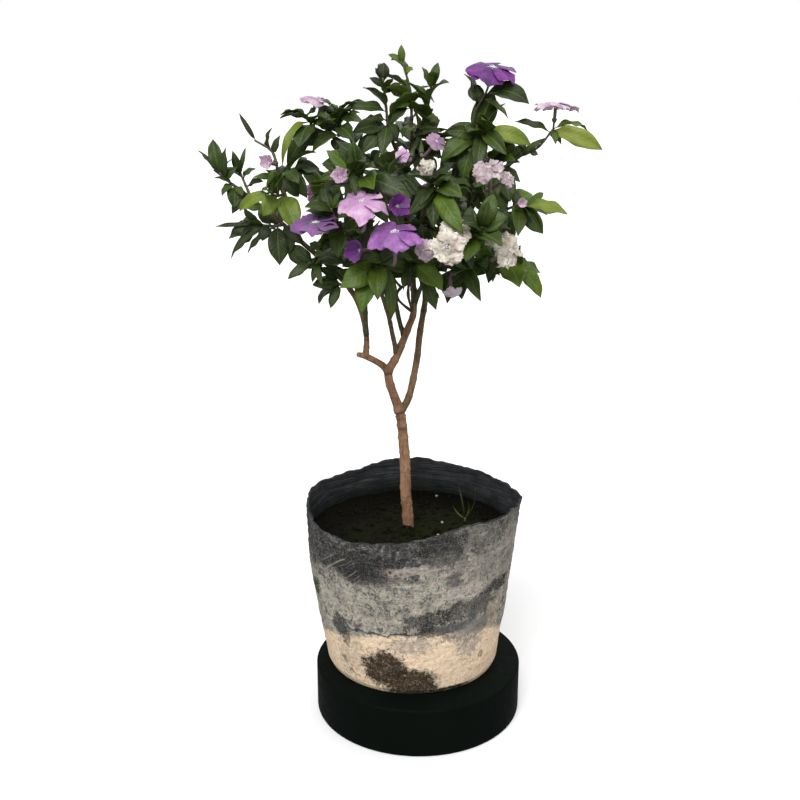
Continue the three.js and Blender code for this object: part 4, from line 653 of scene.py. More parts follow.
def tube(heap, rings, sides, finish, tone=0.5):
    """A closed tube through rings of (centre, heading, radius or one radius for each side)."""
    across = np.array((1.0, 0, 0))
    points, faces, uvs = [], [], []
    travelled = 0.0
    runs = []
    for i, (centre, along, radius) in enumerate(rings):
        if abs(np.dot(across, along)) > 0.9:
            across = np.array((0, 1.0, 0))
        across = unit(across - along * np.dot(across, along))
        other = np.cross(along, across)
        if i:
            travelled += norm(centre - rings[i - 1][0])
        runs.append(travelled)
        for j in range(sides):
            angle = tau * j / sides
            r = radius[j] if hasattr(radius, "__len__") else radius
            points.append(centre + r * (across * cos(angle) + other * sin(angle)))
    for i in range(len(rings) - 1):
        for j in range(sides):
            a, b = i * sides + j, i * sides + (j + 1) % sides
            faces.append((a, b, b + sides, a + sides))
            left, right = j / sides, (j + 1) / sides
            uvs += [(left, runs[i]), (right, runs[i]), (right, runs[i + 1]), (left, runs[i + 1])]
    for ring, outward in ((0, False), (len(rings) - 1, True)):
        hub = len(points)
        points.append(rings[ring][0])
        for j in range(sides):
            a, b = ring * sides + j, ring * sides + (j + 1) % sides
            faces.append((hub, a, b) if outward else (hub, b, a))
            uvs += [(0.5, runs[ring])] * 3
    heap.add(points, faces, [finish] * len(faces), uvs, tone)


def rings_along(run, radius, step, start=0.0, stop=1.0):
    """Even rings on a stretch of a run; radius is a function of the place and of the way gone."""
    length = run.length() * (stop - start)
    steps = max(2, round(length / step))
    rings = []
    for i in range(steps + 1):
        t = mix(start, stop, i / steps)
        rings.append((run.at(t), run.heading(t), radius(t, length * i / steps)))
    return rings


def clear_selection():
    if bpy.context.object and bpy.context.object.mode != "OBJECT":
        bpy.ops.object.mode_set(mode="OBJECT")
    bpy.ops.object.select_all(action="DESELECT")


def begin_edit():
    """Edit mode by vertices, with the whole of the piece selected."""
    bpy.ops.object.mode_set(mode="EDIT")
    bpy.ops.mesh.select_mode(type="VERT")
    bpy.ops.mesh.select_all(action="SELECT")


def end_edit():
    """Turns every face of a closed piece outwards, and leaves edit mode."""
    bpy.ops.mesh.select_all(action="SELECT")
    bpy.ops.mesh.normals_make_consistent(inside=False)
    bpy.ops.object.mode_set(mode="OBJECT")


def pick(obj, keep):
    """In edit mode, selects the vertices whose place keep accepts, and the edges and faces they make."""
    shape = bmesh.from_edit_mesh(obj.data)
    for vertex in shape.verts:
        vertex.select = bool(keep(vertex.co))
    shape.select_mode = {"VERT"}
    shape.select_flush_mode()
    shape.select_flush(True)
    bmesh.update_edit_mesh(obj.data)


class Sheet:
    """A flat leaf or lobe, cut once and laid many times: one long and two wide, with both its sides."""

    def __init__(self, rows, across, outline):
        clear_selection()
        bpy.ops.mesh.primitive_grid_add(x_subdivisions=rows, y_subdivisions=across, size=2)
        flat = bpy.context.object
        begin_edit()
        for row in range(rows + 1):
            x = 2 * row / rows - 1
            pick(flat, lambda co: abs(co.x - x) < 0.5 / rows)
            bpy.ops.transform.resize(value=(1, outline(row / rows), 1), center_override=(x, 0, 0))
        bpy.ops.mesh.select_all(action="SELECT")
        bpy.ops.mesh.remove_doubles(threshold=1e-5)
        bpy.ops.object.mode_set(mode="OBJECT")
        shell = flat.modifiers.new("Shell", "SOLIDIFY")
        shell.thickness = 1
        shell.offset = 0
        bpy.ops.object.modifier_apply(modifier="Shell")
        mesh = flat.data
        points = np.array([v.co for v in mesh.vertices])
        self.u = (points[:, 0] + 1) / 2
        self.y, self.z = points[:, 1], points[:, 2]
        self.faces = [tuple(p.vertices) for p in mesh.polygons]
        self.under = [1 if p.normal.z < -0.5 else 0 for p in mesh.polygons]
        uvs = mesh.uv_layers.active.data
        self.uvs = np.array([tuple(uvs[i].uv) for p in mesh.polygons for i in p.loop_indices])
        widths = np.array([max(outline(u), 1e-4) for u in self.u])
        self.across = np.clip(self.y / widths, -1, 1)
        self.across[widths < 1e-3] = 0
        bpy.data.objects.remove(flat)


def leaf_outline(widest, drawn):
    """The half width of a blade along its length: a short stalk, a broad middle and a drawn-out tip."""
    power = log(0.5) / log(widest)

    def outline(u):
        full = sin(pi * min(1, u) ** power) ** 0.72 if 0 < u < 1 else 0.0
        full *= 1 - drawn * float(smooth(0.72, 1.0, u))
        stalk = float(smooth(0.02, 0.2, u))
        return mix(0.05, full, stalk) if u < 0.5 else full
    return outline


def lobe_outline(u):
    """The half width of a petal lobe from the throat to its rounded rim."""
    swell = 0.3 + 0.7 * sin(pi / 2 * min(1, u / 0.62)) ** 1.1
    return swell * (1 - 0.5 * float(smooth(0.7, 1.02, u)))


def lay_leaf(heap, sheet, shape, thickness=0.4):
    """Bends a flat blade into an arched, folded and waved leaf from its root to its tip."""
    root, tip, key = shape["root"], shape["tip"], shape["key"]
    chord = tip - root
    length = norm(chord)
    along = chord / length
    look = shape["look"]
    up = turned(unit(look - along * np.dot(look, along)), along, shape["roll"])
    side = np.cross(along, up)
    u, v = sheet.u, sheet.across
    half = shape["width"] / 2 * mix(1, LEAF_FULLNESS, float(smooth(7, 11, shape["width"])))
    body = np.sin(np.pi * np.clip(u, 0, 1)) ** 0.7
    ripple = np.cos(np.pi * (u - 0.28) / 0.27) * v ** 2
    frill = 0.9 * np.sin(2 * np.pi * (2.6 * u + 0.37 * np.sign(v) + draw(*key, 21))) * v ** 2
    wave = 1.6 * shape["wave"] * length * body * (ripple + frill)
    fold = radians(mix(6, 34, draw(*key, 22)))
    edge = 1 - 0.75 * v ** 4
    rib = np.where(sheet.z < 0, 0.5 * np.exp(-(v / 0.12) ** 2) * (1 - 0.8 * u), 0)
    out = sheet.y * half * cos(fold)
    lift = np.abs(sheet.y) * half * sin(fold) * (1 - 0.35 * np.abs(v))
    lift = lift + wave + sheet.z * thickness * edge - rib
    twist = 1.1 * (draw(*key, 23) - 0.5) * (u - 0.2)
    out, lift = out * np.cos(twist) - lift * np.sin(twist), out * np.sin(twist) + lift * np.cos(twist)
    arch = shape["arch"]
    curl = 0.07 * draw(*key, 24) * smooth(0.5, 1.0, u)
    face = up[None] - along[None] * (4 * arch * (1 - 2 * u))[:, None]
    face /= norm(face, axis=1)[:, None]
    rise = length * (4 * arch * u * (1 - u) - curl)
    middle = root[None] + chord[None] * u[:, None] + up[None] * rise[:, None]
    points = middle + side[None] * out[:, None] + face * lift[:, None]
    heap.add(points, sheet.faces, sheet.under, sheet.uvs, shape["tone"])


def crumpled(points, amount, pitch, seed):
    """Points moved a little by a smooth noise, the same every time, as a thin petal crinkles."""
    noise.seed_set(CRINKLE_SEED)
    drift = Vector((seed, 2 * seed, 0))
    moved = [noise.noise_vector(Vector(point) / pitch + drift) for point in points]
    return points + amount * np.array(moved)


def lay_lobes(heap, sheet, bloom, index, face, centre, finish):
    """The five lobes of a corolla, each over the next, with waved rims."""
    radius, age, form = bloom[5:8]
    bend, spread, broad = FORMS[form]
    limp = LIMPNESS[age]
    right = unit(np.cross((0, 0, 1), face))
    above = np.cross(face, right)
    turn = tau * draw(index, 1)
    throat = 0.07 * radius
    u, v, y, z = sheet.u, sheet.across, sheet.y, sheet.z
    for lobe in range(LOBES):
        key = (index, 40 + lobe)
        angle = (lobe + 0.5) * SECTOR + turn + limp * 0.3 * (draw(*key, 5) - 0.5)
        out = right * cos(angle) + above * sin(angle)
        over = -right * sin(angle) + above * cos(angle)
        reach = radius * (1.0 - 0.24 * limp * draw(*key, 0))
        x = throat + (reach - throat) * u * (1 - 0.19 * u ** 2 * np.abs(v) ** 2)
        w = y * broad * radius * (1 - 0.3 * limp * draw(*key, 4))
        share = np.hypot(x, w) / radius
        phase = tau * draw(*key, 1)
        waves = 0.05 * np.sin(2.4 * v + phase) * u ** 2
        waves = waves + 0.035 * np.sin(6.5 * v + 3 * u + 2 * phase) * u ** 3
        crease = 0.05 * np.exp(-(v / 0.2) ** 2) * u * (1.1 - u)
        droop = 0.24 * (draw(*key, 2) - 0.6) * (0.5 + limp)
        step = -0.07 * v * np.clip(2.5 * u, 0, 1)
        lift = radius * ((bend - 0.06) * share ** 2 + step + (1 + limp) * waves - crease + droop * u ** 2)
        lift = lift + z * 0.3 * (1 - 0.6 * v ** 4)
        points = (centre[None] + out[None] * (x * spread)[:, None] + over[None] * (w * spread)[:, None]
                  + face[None] * lift[:, None])
        seed = 3.1 * index + 0.7 * lobe
        points = crumpled(points, (0.03 + 0.07 * limp) * radius, 0.4 * radius, seed)
        points = crumpled(points, (0.02 + 0.1 * limp) * radius, 0.16 * radius, seed)
        # Each lobe's tone: the bloom's painted light and shade, with a little random spread.
        tone = BLOOM_PAINTED_LIGHT_AND_SHADE.get(bloom[0], 0.5) + 0.12 * (draw(*key, 3) - 0.5)
        heap.add(points, sheet.faces, [finish] * len(sheet.faces), sheet.uvs, tone)


def lay_throat(heap, line, face, centre, reach, radius, finish):
    """The slender tube under the lobes, and the pale eye round the throat."""
    start = CALYX_PLACE - 0.5 / reach
    tube(heap, rings_along(line, lambda t, way: TUBE_RADIUS, 2.0, start, 1 - 0.8 / reach), 10, finish)
    eye = [(-0.9, 0.9), (-0.1, 1.1), (0.35, 1.05), (0.45, 0.8), (0.2, 0.5), (-0.5, 0.3)]
    rings = [(centre + face * lift, face, width * min(1, radius / 14)) for lift, width in eye]
    tube(heap, rings, 10, finish + 1)


def stem_radius(t, start):
    gone = (t - start) / (1 - start)
    return mix(STEM_THICK, STEM_THIN, gone) * (1 + 0.12 * sin(38 * gone))


def lay_stalk(heap, bloom, finish):
    """The slender stalk and the calyx with its five teeth."""
    line, _, _, reach, calyx_start = stalk_of(bloom)
    tube(heap, rings_along(line, lambda t, way: STALK_RADIUS, 2.5, 0.0, calyx_start), 8, finish)
    sides = 20
    waves = [cos(LOBES * tau * j / sides) for j in range(sides)]
    teeth = [CALYX_RADIUS * (1.04 + 0.12 * wave) for wave in waves]
    rings = []
    for share, width in ((0.0, 0.42), (0.12, 0.62), (0.4, 0.86), (0.75, 0.98)):
        t = mix(calyx_start, CALYX_PLACE, share)
        rings.append((line.at(t), line.heading(t), CALYX_RADIUS * width))
    rings.append((line.at(CALYX_PLACE), line.heading(CALYX_PLACE), teeth))
    rings.append((line.at(CALYX_PLACE - 0.4 / reach), line.heading(CALYX_PLACE), TUBE_RADIUS * 0.9))
    tube(heap, rings, sides, finish)


def linear(*channels):
    """A colour given as sRGB numbers up to 255, as Blender mixes it."""
    scaled = [c / 255 for c in channels]
    return tuple(c / 12.92 if c <= 0.04045 else ((c + 0.055) / 1.055) ** 2.4 for c in scaled)


class Net:
    """A net of shader nodes being wired, with one short call for each kind of node."""

    def __init__(self, tree):
        self.tree = tree

    def put(self, value, socket):
        if isinstance(value, bpy.types.NodeSocket):
            self.tree.links.new(value, socket)
        elif value is not None:
            if socket.type == "RGBA" and len(value) == 3:
                value = (*value, 1)
            socket.default_value = value

    def node(self, kind, settings=None, **inputs):
        made = self.tree.nodes.new(kind)
        for name, value in (settings or {}).items():
            setattr(made, name, value)
        for name, value in inputs.items():
            self.put(value, made.inputs[name.replace("_", " ")])
        return made

    def math(self, operation, a, b=None, clamp=False):
        made = self.node("ShaderNodeMath", {"operation": operation, "use_clamp": clamp})
        self.put(a, made.inputs[0])
        self.put(b, made.inputs[1])
        return made.outputs[0]

    def times(self, a, b):
        return self.math("MULTIPLY", a, b)

    def plus(self, a, b, clamp=False):
        return self.math("ADD", a, b, clamp)

    def minus(self, a, b):
        return self.math("SUBTRACT", a, b)

    def swayed(self, value, cloud, amount):
        """A value that a noise moves up and down."""
        return self.plus(value, self.times(self.minus(cloud, 0.5), amount))

    def reach(self, x, y):
        """How far a place is from the middle."""
        return self.math("SQRT", self.plus(self.times(x, x), self.times(y, y)))

    def split(self, vector):
        return self.node("ShaderNodeSeparateXYZ", Vector=vector).outputs

    def blend(self, factor, a, b):
        made = self.node("ShaderNodeMix", {"data_type": "RGBA"})
        self.put(factor, made.inputs[0])
        self.put(a, made.inputs[6])
        self.put(b, made.inputs[7])
        return made.outputs[2]

    def remap(self, value, low, high, to_low=0.0, to_high=1.0, soft=False):
        kind = "SMOOTHSTEP" if soft else "LINEAR"
        made = self.node("ShaderNodeMapRange", {"interpolation_type": kind, "clamp": True})
        for i, v in enumerate((value, low, high, to_low, to_high)):
            self.put(v, made.inputs[i])
        return made.outputs[0]

    def scaled(self, vector, scale):
        made = self.node("ShaderNodeVectorMath", {"operation": "MULTIPLY"})
        self.put(vector, made.inputs[0])
        made.inputs[1].default_value = scale
        return made.outputs[0]

    def spun(self, vector, angle):
        made = self.node("ShaderNodeMapping")
        self.put(vector, made.inputs["Vector"])
        made.inputs["Rotation"].default_value = (0, 0, angle)
        return made.outputs[0]

    def noise(self, vector, scale, detail=3.0, roughness=0.55, distortion=0.0):
        made = self.node("ShaderNodeTexNoise", Vector=vector, Scale=scale, Detail=detail,
                         Roughness=roughness, Distortion=distortion)
        return made.outputs["Fac"]

    def ramp(self, factor, stops):
        made = self.node("ShaderNodeValToRGB", Fac=factor)
        elements = made.color_ramp.elements
        while len(elements) < len(stops):
            elements.new(0.5)
        for element, (place, colour) in zip(elements, stops):
            element.position = place
            element.color = (*colour, 1)
        return made.outputs[0]

    def bump(self, height, distance, strength=1.0, normal=None):
        return self.node("ShaderNodeBump", Height=height, Distance=distance, Strength=strength,
                         Normal=normal).outputs[0]

    def tinge(self, colour, other, value, *ends):
        """One colour that goes over into another as a value runs between its ends."""
        return self.blend(self.remap(value, *ends), colour, other)

    def group(self, name, **inputs):
        """The outputs of a shared node group, which is made when it is first asked for."""
        tree = bpy.data.node_groups.get(name) or GROUP_MAKERS[name]()
        return self.node("ShaderNodeGroup", {"node_tree": tree}, **inputs).outputs

    def mottle(self, vector, size, contrast):
        return self.group("Mottle", Vector=vector, Size=size, Contrast=contrast)

    def patch(self, flat, across, up, wide, high, ragged, torn):
        return self.group("Patch", Map=flat, Across=across, Up=up, Wide=wide, High=high,
                          Ragged=ragged, Torn=torn)[0]


class Finish(Net):
    """A material being wired; fixed values are set on the shader's own sockets."""

    def __init__(self, name, roughness, **fixed):
        self.material = bpy.data.materials.new(name)
        self.material.use_nodes = True
        super().__init__(self.material.node_tree)
        self.shader = self.tree.nodes["Principled BSDF"].inputs
        for label, value in {"Roughness": roughness, **fixed}.items():
            self.put(value, self.shader[label.replace("_", " ")])

    def place(self):
        return self.node("ShaderNodeTexCoord").outputs["Object"]

    def flat(self):
        return self.node("ShaderNodeTexCoord").outputs["UV"]

    def tone(self):
        return self.node("ShaderNodeAttribute", {"attribute_name": "tone"}).outputs["Fac"]

    def done(self, colour, normal=None, roughness=None):
        """Feeds the shader with what changes over the surface, and gives the material."""
        for label, value in (("Base Color", colour), ("Normal", normal), ("Roughness", roughness)):
            self.put(value, self.shader[label])
        return self.material


def new_group(name, inputs, outputs):
    """An empty node group with its sockets, its net, and its input and output nodes."""
    tree = bpy.data.node_groups.new(name, "ShaderNodeTree")
    for label, kind, value in inputs:
        socket = tree.interface.new_socket(name=label, in_out="INPUT", socket_type="NodeSocket" + kind)
        if value is not None:
            socket.default_value = value
    for label, kind in outputs:
        tree.interface.new_socket(name=label, in_out="OUTPUT", socket_type="NodeSocket" + kind)
    net = Net(tree)
    return tree, net, net.node("NodeGroupInput").outputs, net.node("NodeGroupOutput").inputs


def mottle_group():
    """Broad and fine blotches on an object's own coordinates, as a mask from 0 to 1."""
    tree, net, given, result = new_group(
        "Mottle", [("Vector", "Vector", None), ("Size", "Float", 60), ("Contrast", "Float", 0.2)],
        [("Mask", "Float"), ("Fine", "Float")])
    broad = net.noise(given["Vector"], given["Size"], 5, 0.6, 0.3)
    low = net.minus(0.5, given["Contrast"])
    high = net.plus(0.5, given["Contrast"])
    net.put(net.remap(broad, low, high, soft=True), result["Mask"])
    finer = net.times(given["Size"], 9)
    net.put(net.noise(given["Vector"], finer, 3, 0.7), result["Fine"])
    return tree


def patch_group():
    """A ragged oval patch on a flat map, as a mask from 0 outside to 1 inside."""
    tree, net, given, result = new_group(
        "Patch", [("Map", "Vector", None), ("Across", "Float", 0), ("Up", "Float", 0),
                ("Wide", "Float", 10), ("High", "Float", 10), ("Ragged", "Float", 1.5),
                ("Torn", "Float", 0.5)],
        [("Mask", "Float")])
    split = net.split(given["Map"])
    off_x = net.math("DIVIDE", net.minus(split[0], given["Across"]), given["Wide"])
    off_y = net.math("DIVIDE", net.minus(split[1], given["Up"]), given["High"])
    edge = net.swayed(net.reach(off_x, off_y), given["Torn"], net.times(given["Ragged"], 3))
    net.put(net.remap(edge, 0.85, 1.15, 1, 0), result["Mask"])
    return tree


def leaf_veins_group():
    """The midrib and the arching side veins of a leaf on its UV map."""
    tree, net, given, result = new_group(
        "Leaf veins", [("UV", "Vector", None), ("Pairs", "Float", 8)],
        [("Midrib", "Float"), ("Veins", "Float"), ("Quilt", "Float")])
    split = net.split(given["UV"])
    off = net.math("ABSOLUTE", net.minus(split[1], 0.5))
    net.put(net.remap(off, 0.015, 0.05, 1, 0, True), result["Midrib"])
    slant = net.minus(split[0], net.times(off, 0.42))
    wobble = net.noise(given["UV"], 6, 2)
    slant = net.plus(slant, net.times(wobble, 0.05))
    comb = net.math("FRACT", net.times(slant, given["Pairs"]))
    gap = net.math("ABSOLUTE", net.minus(comb, 0.5))
    net.put(net.remap(gap, 0, 0.09, 1, 0, True), result["Veins"])
    net.put(net.remap(gap, 0, 0.5, 0, 1, True), result["Quilt"])
    return tree


GROUP_MAKERS = {"Mottle": mottle_group, "Patch": patch_group, "Leaf veins": leaf_veins_group}


def leaf_finish(settings):
    """The upper face: dark and glossy to young and yellow-green by tone, with pale ribs; the tone holds
    painted light and shade as well as the leaf's age.
    """
    net = Finish("leaf_face", 0.42, Specular_IOR_Level=0.28)
    veins = net.group("Leaf veins", UV=net.flat(), Pairs=9)
    blotch = net.mottle(net.place(), 70, 0.25)
    # Each leaf's tone holds painted light and shade as well as its age.
    tone = net.plus(net.tone(), net.remap(blotch["Mask"], 0, 1, -0.11, 0.11), True)
    blade = net.ramp(tone, ((0, settings.shade), (0.3, settings.dark), (0.6, settings.fresh),
                            (1, settings.young)))
    pale = net.blend(0.5, blade, settings.rib)
    colour = net.blend(net.times(veins["Midrib"], 0.55), blade, pale)
    colour = net.blend(net.times(veins["Veins"], 0.16), colour, pale)
    relief = net.minus(net.times(veins["Quilt"], 0.7), veins["Midrib"])
    normal = net.bump(relief, 0.0004, 0.35)
    return net.done(colour, net.bump(blotch["Fine"], 0.0001, 0.5, normal),
                    net.remap(blotch["Fine"], 0.3, 0.7, 0.36, 0.54))


def leaf_back_finish(settings):
    """The under face: paler, matt, with the ribs standing out."""
    net = Finish("leaf_back", 0.6, Specular_IOR_Level=0.3)
    veins = net.group("Leaf veins", UV=net.flat(), Pairs=9)
    blotch = net.mottle(net.place(), 70, 0.25)
    tone = net.plus(net.tone(), net.remap(blotch["Mask"], 0, 1, -0.05, 0.05), True)
    blade = net.ramp(tone, ((0, settings.dark), (0.3, settings.fresh), (0.6, settings.back),
                            (1, settings.young)))
    colour = net.blend(net.times(veins["Midrib"], 0.7), blade, settings.rib)
    colour = net.blend(net.times(veins["Veins"], 0.3), colour, settings.rib)
    relief = net.plus(net.times(veins["Veins"], 0.6), veins["Midrib"])
    return net.done(colour, net.bump(relief, 0.0004, 0.6))


def stem_finish(settings):
    """Green stems blotched with brown, with fine long streaks."""
    net = Finish("green_stem", 0.55)
    place = net.place()
    streak = net.noise(net.scaled(place, (1, 1, 0.25)), 900, 3)
    blotch = net.mottle(place, 45, 0.2)
    colour = net.blend(blotch["Mask"], settings.stem, settings.twig)
    colour = net.tinge(colour, settings.shade, streak, 0.35, 0.65, 0, 0.45)
    return net.done(colour, net.bump(streak, 0.0002, 0.5))


def green_finishes(settings):
    """The finishes of blades and stems, each made when it is first asked for."""
    makers = {"leaf_face": leaf_finish, "leaf_back": leaf_back_finish, "green_stem": stem_finish}
    return [bpy.data.materials.get(name) or make(settings) for name, make in makers.items()]


def bark_finish(settings):
    """Tan bark with long cracks, small pale pores and rings at old nodes, with painted shade in the
    crown.
    """
    net = Finish("bark", 0.82, Specular_IOR_Level=0.25)
    place = net.place()
    height = net.split(place)[2]
    cracks = net.noise(net.scaled(place, (1, 1, 0.12)), 700, 4, 0.6)
    pores = net.node("ShaderNodeTexVoronoi", Vector=net.scaled(place, (1, 1, 0.6)),
                     Scale=420).outputs["Distance"]
    blotch = net.mottle(place, 40, 0.16)
    rings = net.noise(net.scaled(place, (0.1, 0.1, 1)), 260, 3, 0.7)
    colour = net.blend(blotch["Mask"], settings.tan, settings.umber)
    # Painted shade: inside the crown, above 0.36 m, the bark goes over to a dark twig and crack colour.
    crown_shade = net.blend(blotch["Mask"], settings.twig, settings.shadow)
    colour = net.tinge(colour, crown_shade, height, 0.36, 0.42, 0, 1, True)
    green = net.tinge(settings.bough, settings.stem, blotch["Fine"], 0.4, 0.6)
    young = net.minus(1, net.tone())
    colour = net.tinge(colour, green, young, 0.3, 0.8)
    colour = net.tinge(colour, settings.shadow, cracks, 0.52, 0.66, 0, 0.6)
    colour = net.tinge(colour, settings.shadow, rings, 0.6, 0.68, 0, 0.5)
    colour = net.tinge(colour, settings.pore, pores, 0.12, 0.22, 0.5, 0)
    relief = net.plus(net.times(cracks, -1), net.times(rings, -0.6))
    return net.done(colour, net.bump(relief, 0.0012, 0.8))


def petal_finish(name, colour, deep, eye, spots):
    """A petal: its colour by age, deeper at the throat, with fine fanning veins, specks and an eye, and
    painted light and shade by the bloom's tone.
    """
    net = Finish(name, 0.62, Sheen_Weight=0.06, Subsurface_Weight=0.15, Subsurface_Scale=0.002,
                 Subsurface_Radius=(1, 0.4, 0.8))
    where = net.flat()
    split = net.split(where)
    fan = net.noise(net.scaled(where, (1.2, 26, 1)), 1, 3, 0.6, 0.4)
    cloud = net.noise(net.place(), 130, 4, 0.6)
    tint = net.tinge(colour, deep, cloud, 0.36, 0.66)
    tint = net.tinge(tint, deep, fan, 0.48, 0.64, 0, 0.6)
    specks = net.noise(net.place(), 620, 2, 0.5)
    tint = net.tinge(tint, linear(112, 96, 72), specks, 0.64, 0.7, 0, spots)
    tint = net.tinge(tint, deep, split[0], 0.08, 0.6, 0.75, 0, True)
    tone = net.tone()
    # Painted light above a tone of a half, towards white, and painted shade below it, towards grey.
    tint = net.tinge(tint, linear(236, 226, 232), tone, 0.5, 1, 0, 0.75)
    tint = net.tinge(tint, linear(84, 78, 78), tone, 0.5, 0, 0, 0.75)
    tint = net.tinge(tint, eye, split[0], 0.012, 0.045, 1, 0, True)
    relief = net.plus(fan, net.times(cloud, 0.6))
    return net.done(tint, net.bump(relief, 0.0005, 0.5))


def tube_finish(settings):
    """The slender tube: dull green, flushed with the colour of the blooms."""
    net = Finish("bloom_tube", 0.6, Specular_IOR_Level=0.25)
    cloud = net.noise(net.place(), 200, 3)
    colour = net.tinge(settings.tube, settings.flush, cloud, 0.35, 0.65)
    return net.done(colour, net.bump(cloud, 0.0002, 0.4))


def eye_finish(settings):
    """The eye: white, with a faint yellow throat."""
    net = Finish("bloom_eye", 0.6, Specular_IOR_Level=0.25)
    along = net.split(net.flat())[1]
    cloud = net.noise(net.place(), 500, 3)
    colour = net.tinge(settings.eye, settings.tube, along, 1.3, 1.9, 0, 1, True)
    colour = net.tinge(colour, settings.tube, cloud, 0.4, 0.65, 0, 0.3)
    return net.done(colour)


def calyx_finish(settings):
    """The calyx and the stalk: fresh green with darker ribs."""
    net = Finish("calyx", 0.5)
    around = net.split(net.flat())[0]
    ribs = net.math("PINGPONG", net.times(around, 10), 0.5)
    cloud = net.noise(net.place(), 260, 3)
    colour = net.tinge(settings.fresh, settings.stem, cloud, 0.35, 0.65)
    colour = net.blend(net.times(ribs, 0.6), colour, settings.dark)
    return net.done(colour, net.bump(ribs, 0.0003, 0.5))


def soil_finish(settings):
    """Dark crumbly potting soil with a thin growth of moss in patches, and painted shade of the bag's
    wall round its edge.
    """
    net = Finish("soil", 0.95, Specular_IOR_Level=0.06)
    place = net.place()
    clods = net.noise(place, 240, 6, 0.7)
    grit = net.noise(place, 1200, 4, 0.7)
    growth = net.mottle(place, 26, 0.12)
    colour = net.tinge(settings.wet_soil_and_rim_shade, settings.dry, clods, 0.3, 0.7)
    moss = net.tinge(settings.moss, settings.moss_light, grit, 0.35, 0.65)
    colour = net.blend(net.times(growth["Mask"], 0.5), colour, moss)
    mat = net.patch(place, 0.026, -0.01, 0.045, 0.045, 1.6, clods)
    colour = net.blend(net.times(mat, 0.9), colour, moss)
    side = net.split(place)
    # Painted shade: the soil goes darker towards the bag's wall.
    colour = net.tinge(colour, settings.wet_soil_and_rim_shade, net.reach(side[0], side[1]), 0.05, 0.075, 0, 0.75, True)
    normal = net.bump(clods, 0.003, 1)
    return net.done(colour, net.bump(grit, 0.001, 0.8, normal))


def crumb_finish(name, colour, shade):
    """Loose crumbs or mineral grains, mottled."""
    net = Finish(name, 0.95, Specular_IOR_Level=0.06)
    speck = net.noise(net.place(), 900, 4, 0.7)
    colour = net.tinge(colour, shade, speck, 0.35, 0.65)
    return net.done(colour, net.bump(speck, 0.0004, 0.7))


def stand_finish(settings):
    """Black lacquer, satin and a little dusty, with fine scuffs."""
    net = Finish("stand_lacquer", 0.55, Specular_IOR_Level=0.02)
    place = net.place()
    dust = net.mottle(place, 30, 0.2)
    scuff = net.noise(net.scaled(place, (1, 1, 6)), 160, 5, 0.75, 0.6)
    colour = net.blend(net.times(dust["Mask"], 0.5), settings.black, settings.dust)
    colour = net.tinge(colour, settings.scuff, scuff, 0.66, 0.72, 0, 0.35)
    return net.done(colour, net.bump(dust["Fine"], 0.0002, 0.4),
                    net.remap(dust["Fine"], 0.3, 0.7, 0.45, 0.7))


def bag_map(net):
    """The bag's own flat map in millimetres: across from the front's middle, and up from its foot."""
    split = net.split(net.flat())
    across = net.times(net.minus(split[0], 0.5), FELT_LENGTH)
    up = net.times(split[1], FELT_HEIGHT)
    return net.node("ShaderNodeCombineXYZ", X=across, Y=up).outputs[0], across, up


# The marks on the bag: colour, place across and up in mm, half width, half height, ragged, weight
BAG_MARKS = (
    ("stone", 80, 112, 38, 15, 1.4, 0.5), ("lilac", 2, 121, 30, 4, 2.2, 0.7),
    ("charcoal", 25, 134, 14, 15, 1.2, 0.75), ("ash", 33, 117, 9, 14, 2, 0.45),
    ("charcoal", -46, 127, 24, 9, 1.6, 0.75), ("charcoal", -40, 117, 22, 6, 1.8, 0.85),
    ("charcoal", -66, 62, 8, 9, 1.3, 0.95), ("charcoal", -60, 50, 4, 9, 1.2, 0.8),
    ("charcoal", 11, 71, 17, 8, 1.5, 0.88), ("charcoal", 24, 62, 24, 5, 1.4, 0.9),
    ("charcoal", 54, 74, 30, 9, 1.7, 0.8), ("charcoal", 84, 86, 14, 6, 1.2, 0.95),
    ("slate", 52, 58, 26, 10, 1.8, 0.75), ("stone", 54, 44, 14, 13, 1.7, 0.7),
    ("stone", -2, 50, 17, 7, 2, 0.65), ("sand", 84, 60, 9, 12, 2.2, 0.25),
    ("slate", -57, 34, 13, 22, 2.2, 0.32), ("lilac", 46, 92, 20, 4, 1.8, 0.6),
    ("charcoal", 150, 92, 30, 11, 1.8, 0.85), ("charcoal", 215, 66, 34, 12, 1.8, 0.85),
    ("lilac", 190, 106, 30, 9, 1.8, 0.6), ("ash", -235, 118, 16, 22, 1.6, 0.75),
    ("charcoal", -190, 60, 30, 10, 1.8, 0.85), ("stone", -150, 100, 30, 12, 1.8, 0.6),
    ("slate", -130, 76, 18, 14, 1.6, 0.75), ("charcoal", -94, 86, 7, 7, 1.2, 0.95),
    ("moss_brown", 70, 27, 3, 3, 1.5, 0.6), ("moss_brown", -66, 26, 2.5, 4, 1.5, 0.6),
    ("moss_brown", -61, 15, 3, 3, 1.5, 0.6),
)

# The patches of old moss at the foot: place across and up in mm, half width, half height
BAG_MOSS = ((-25, 25, 20, 18), (-2, 11, 24, 15), (34, 1, 26, 3.5), (196, 12, 20, 12), (-168, 6, 26, 8))


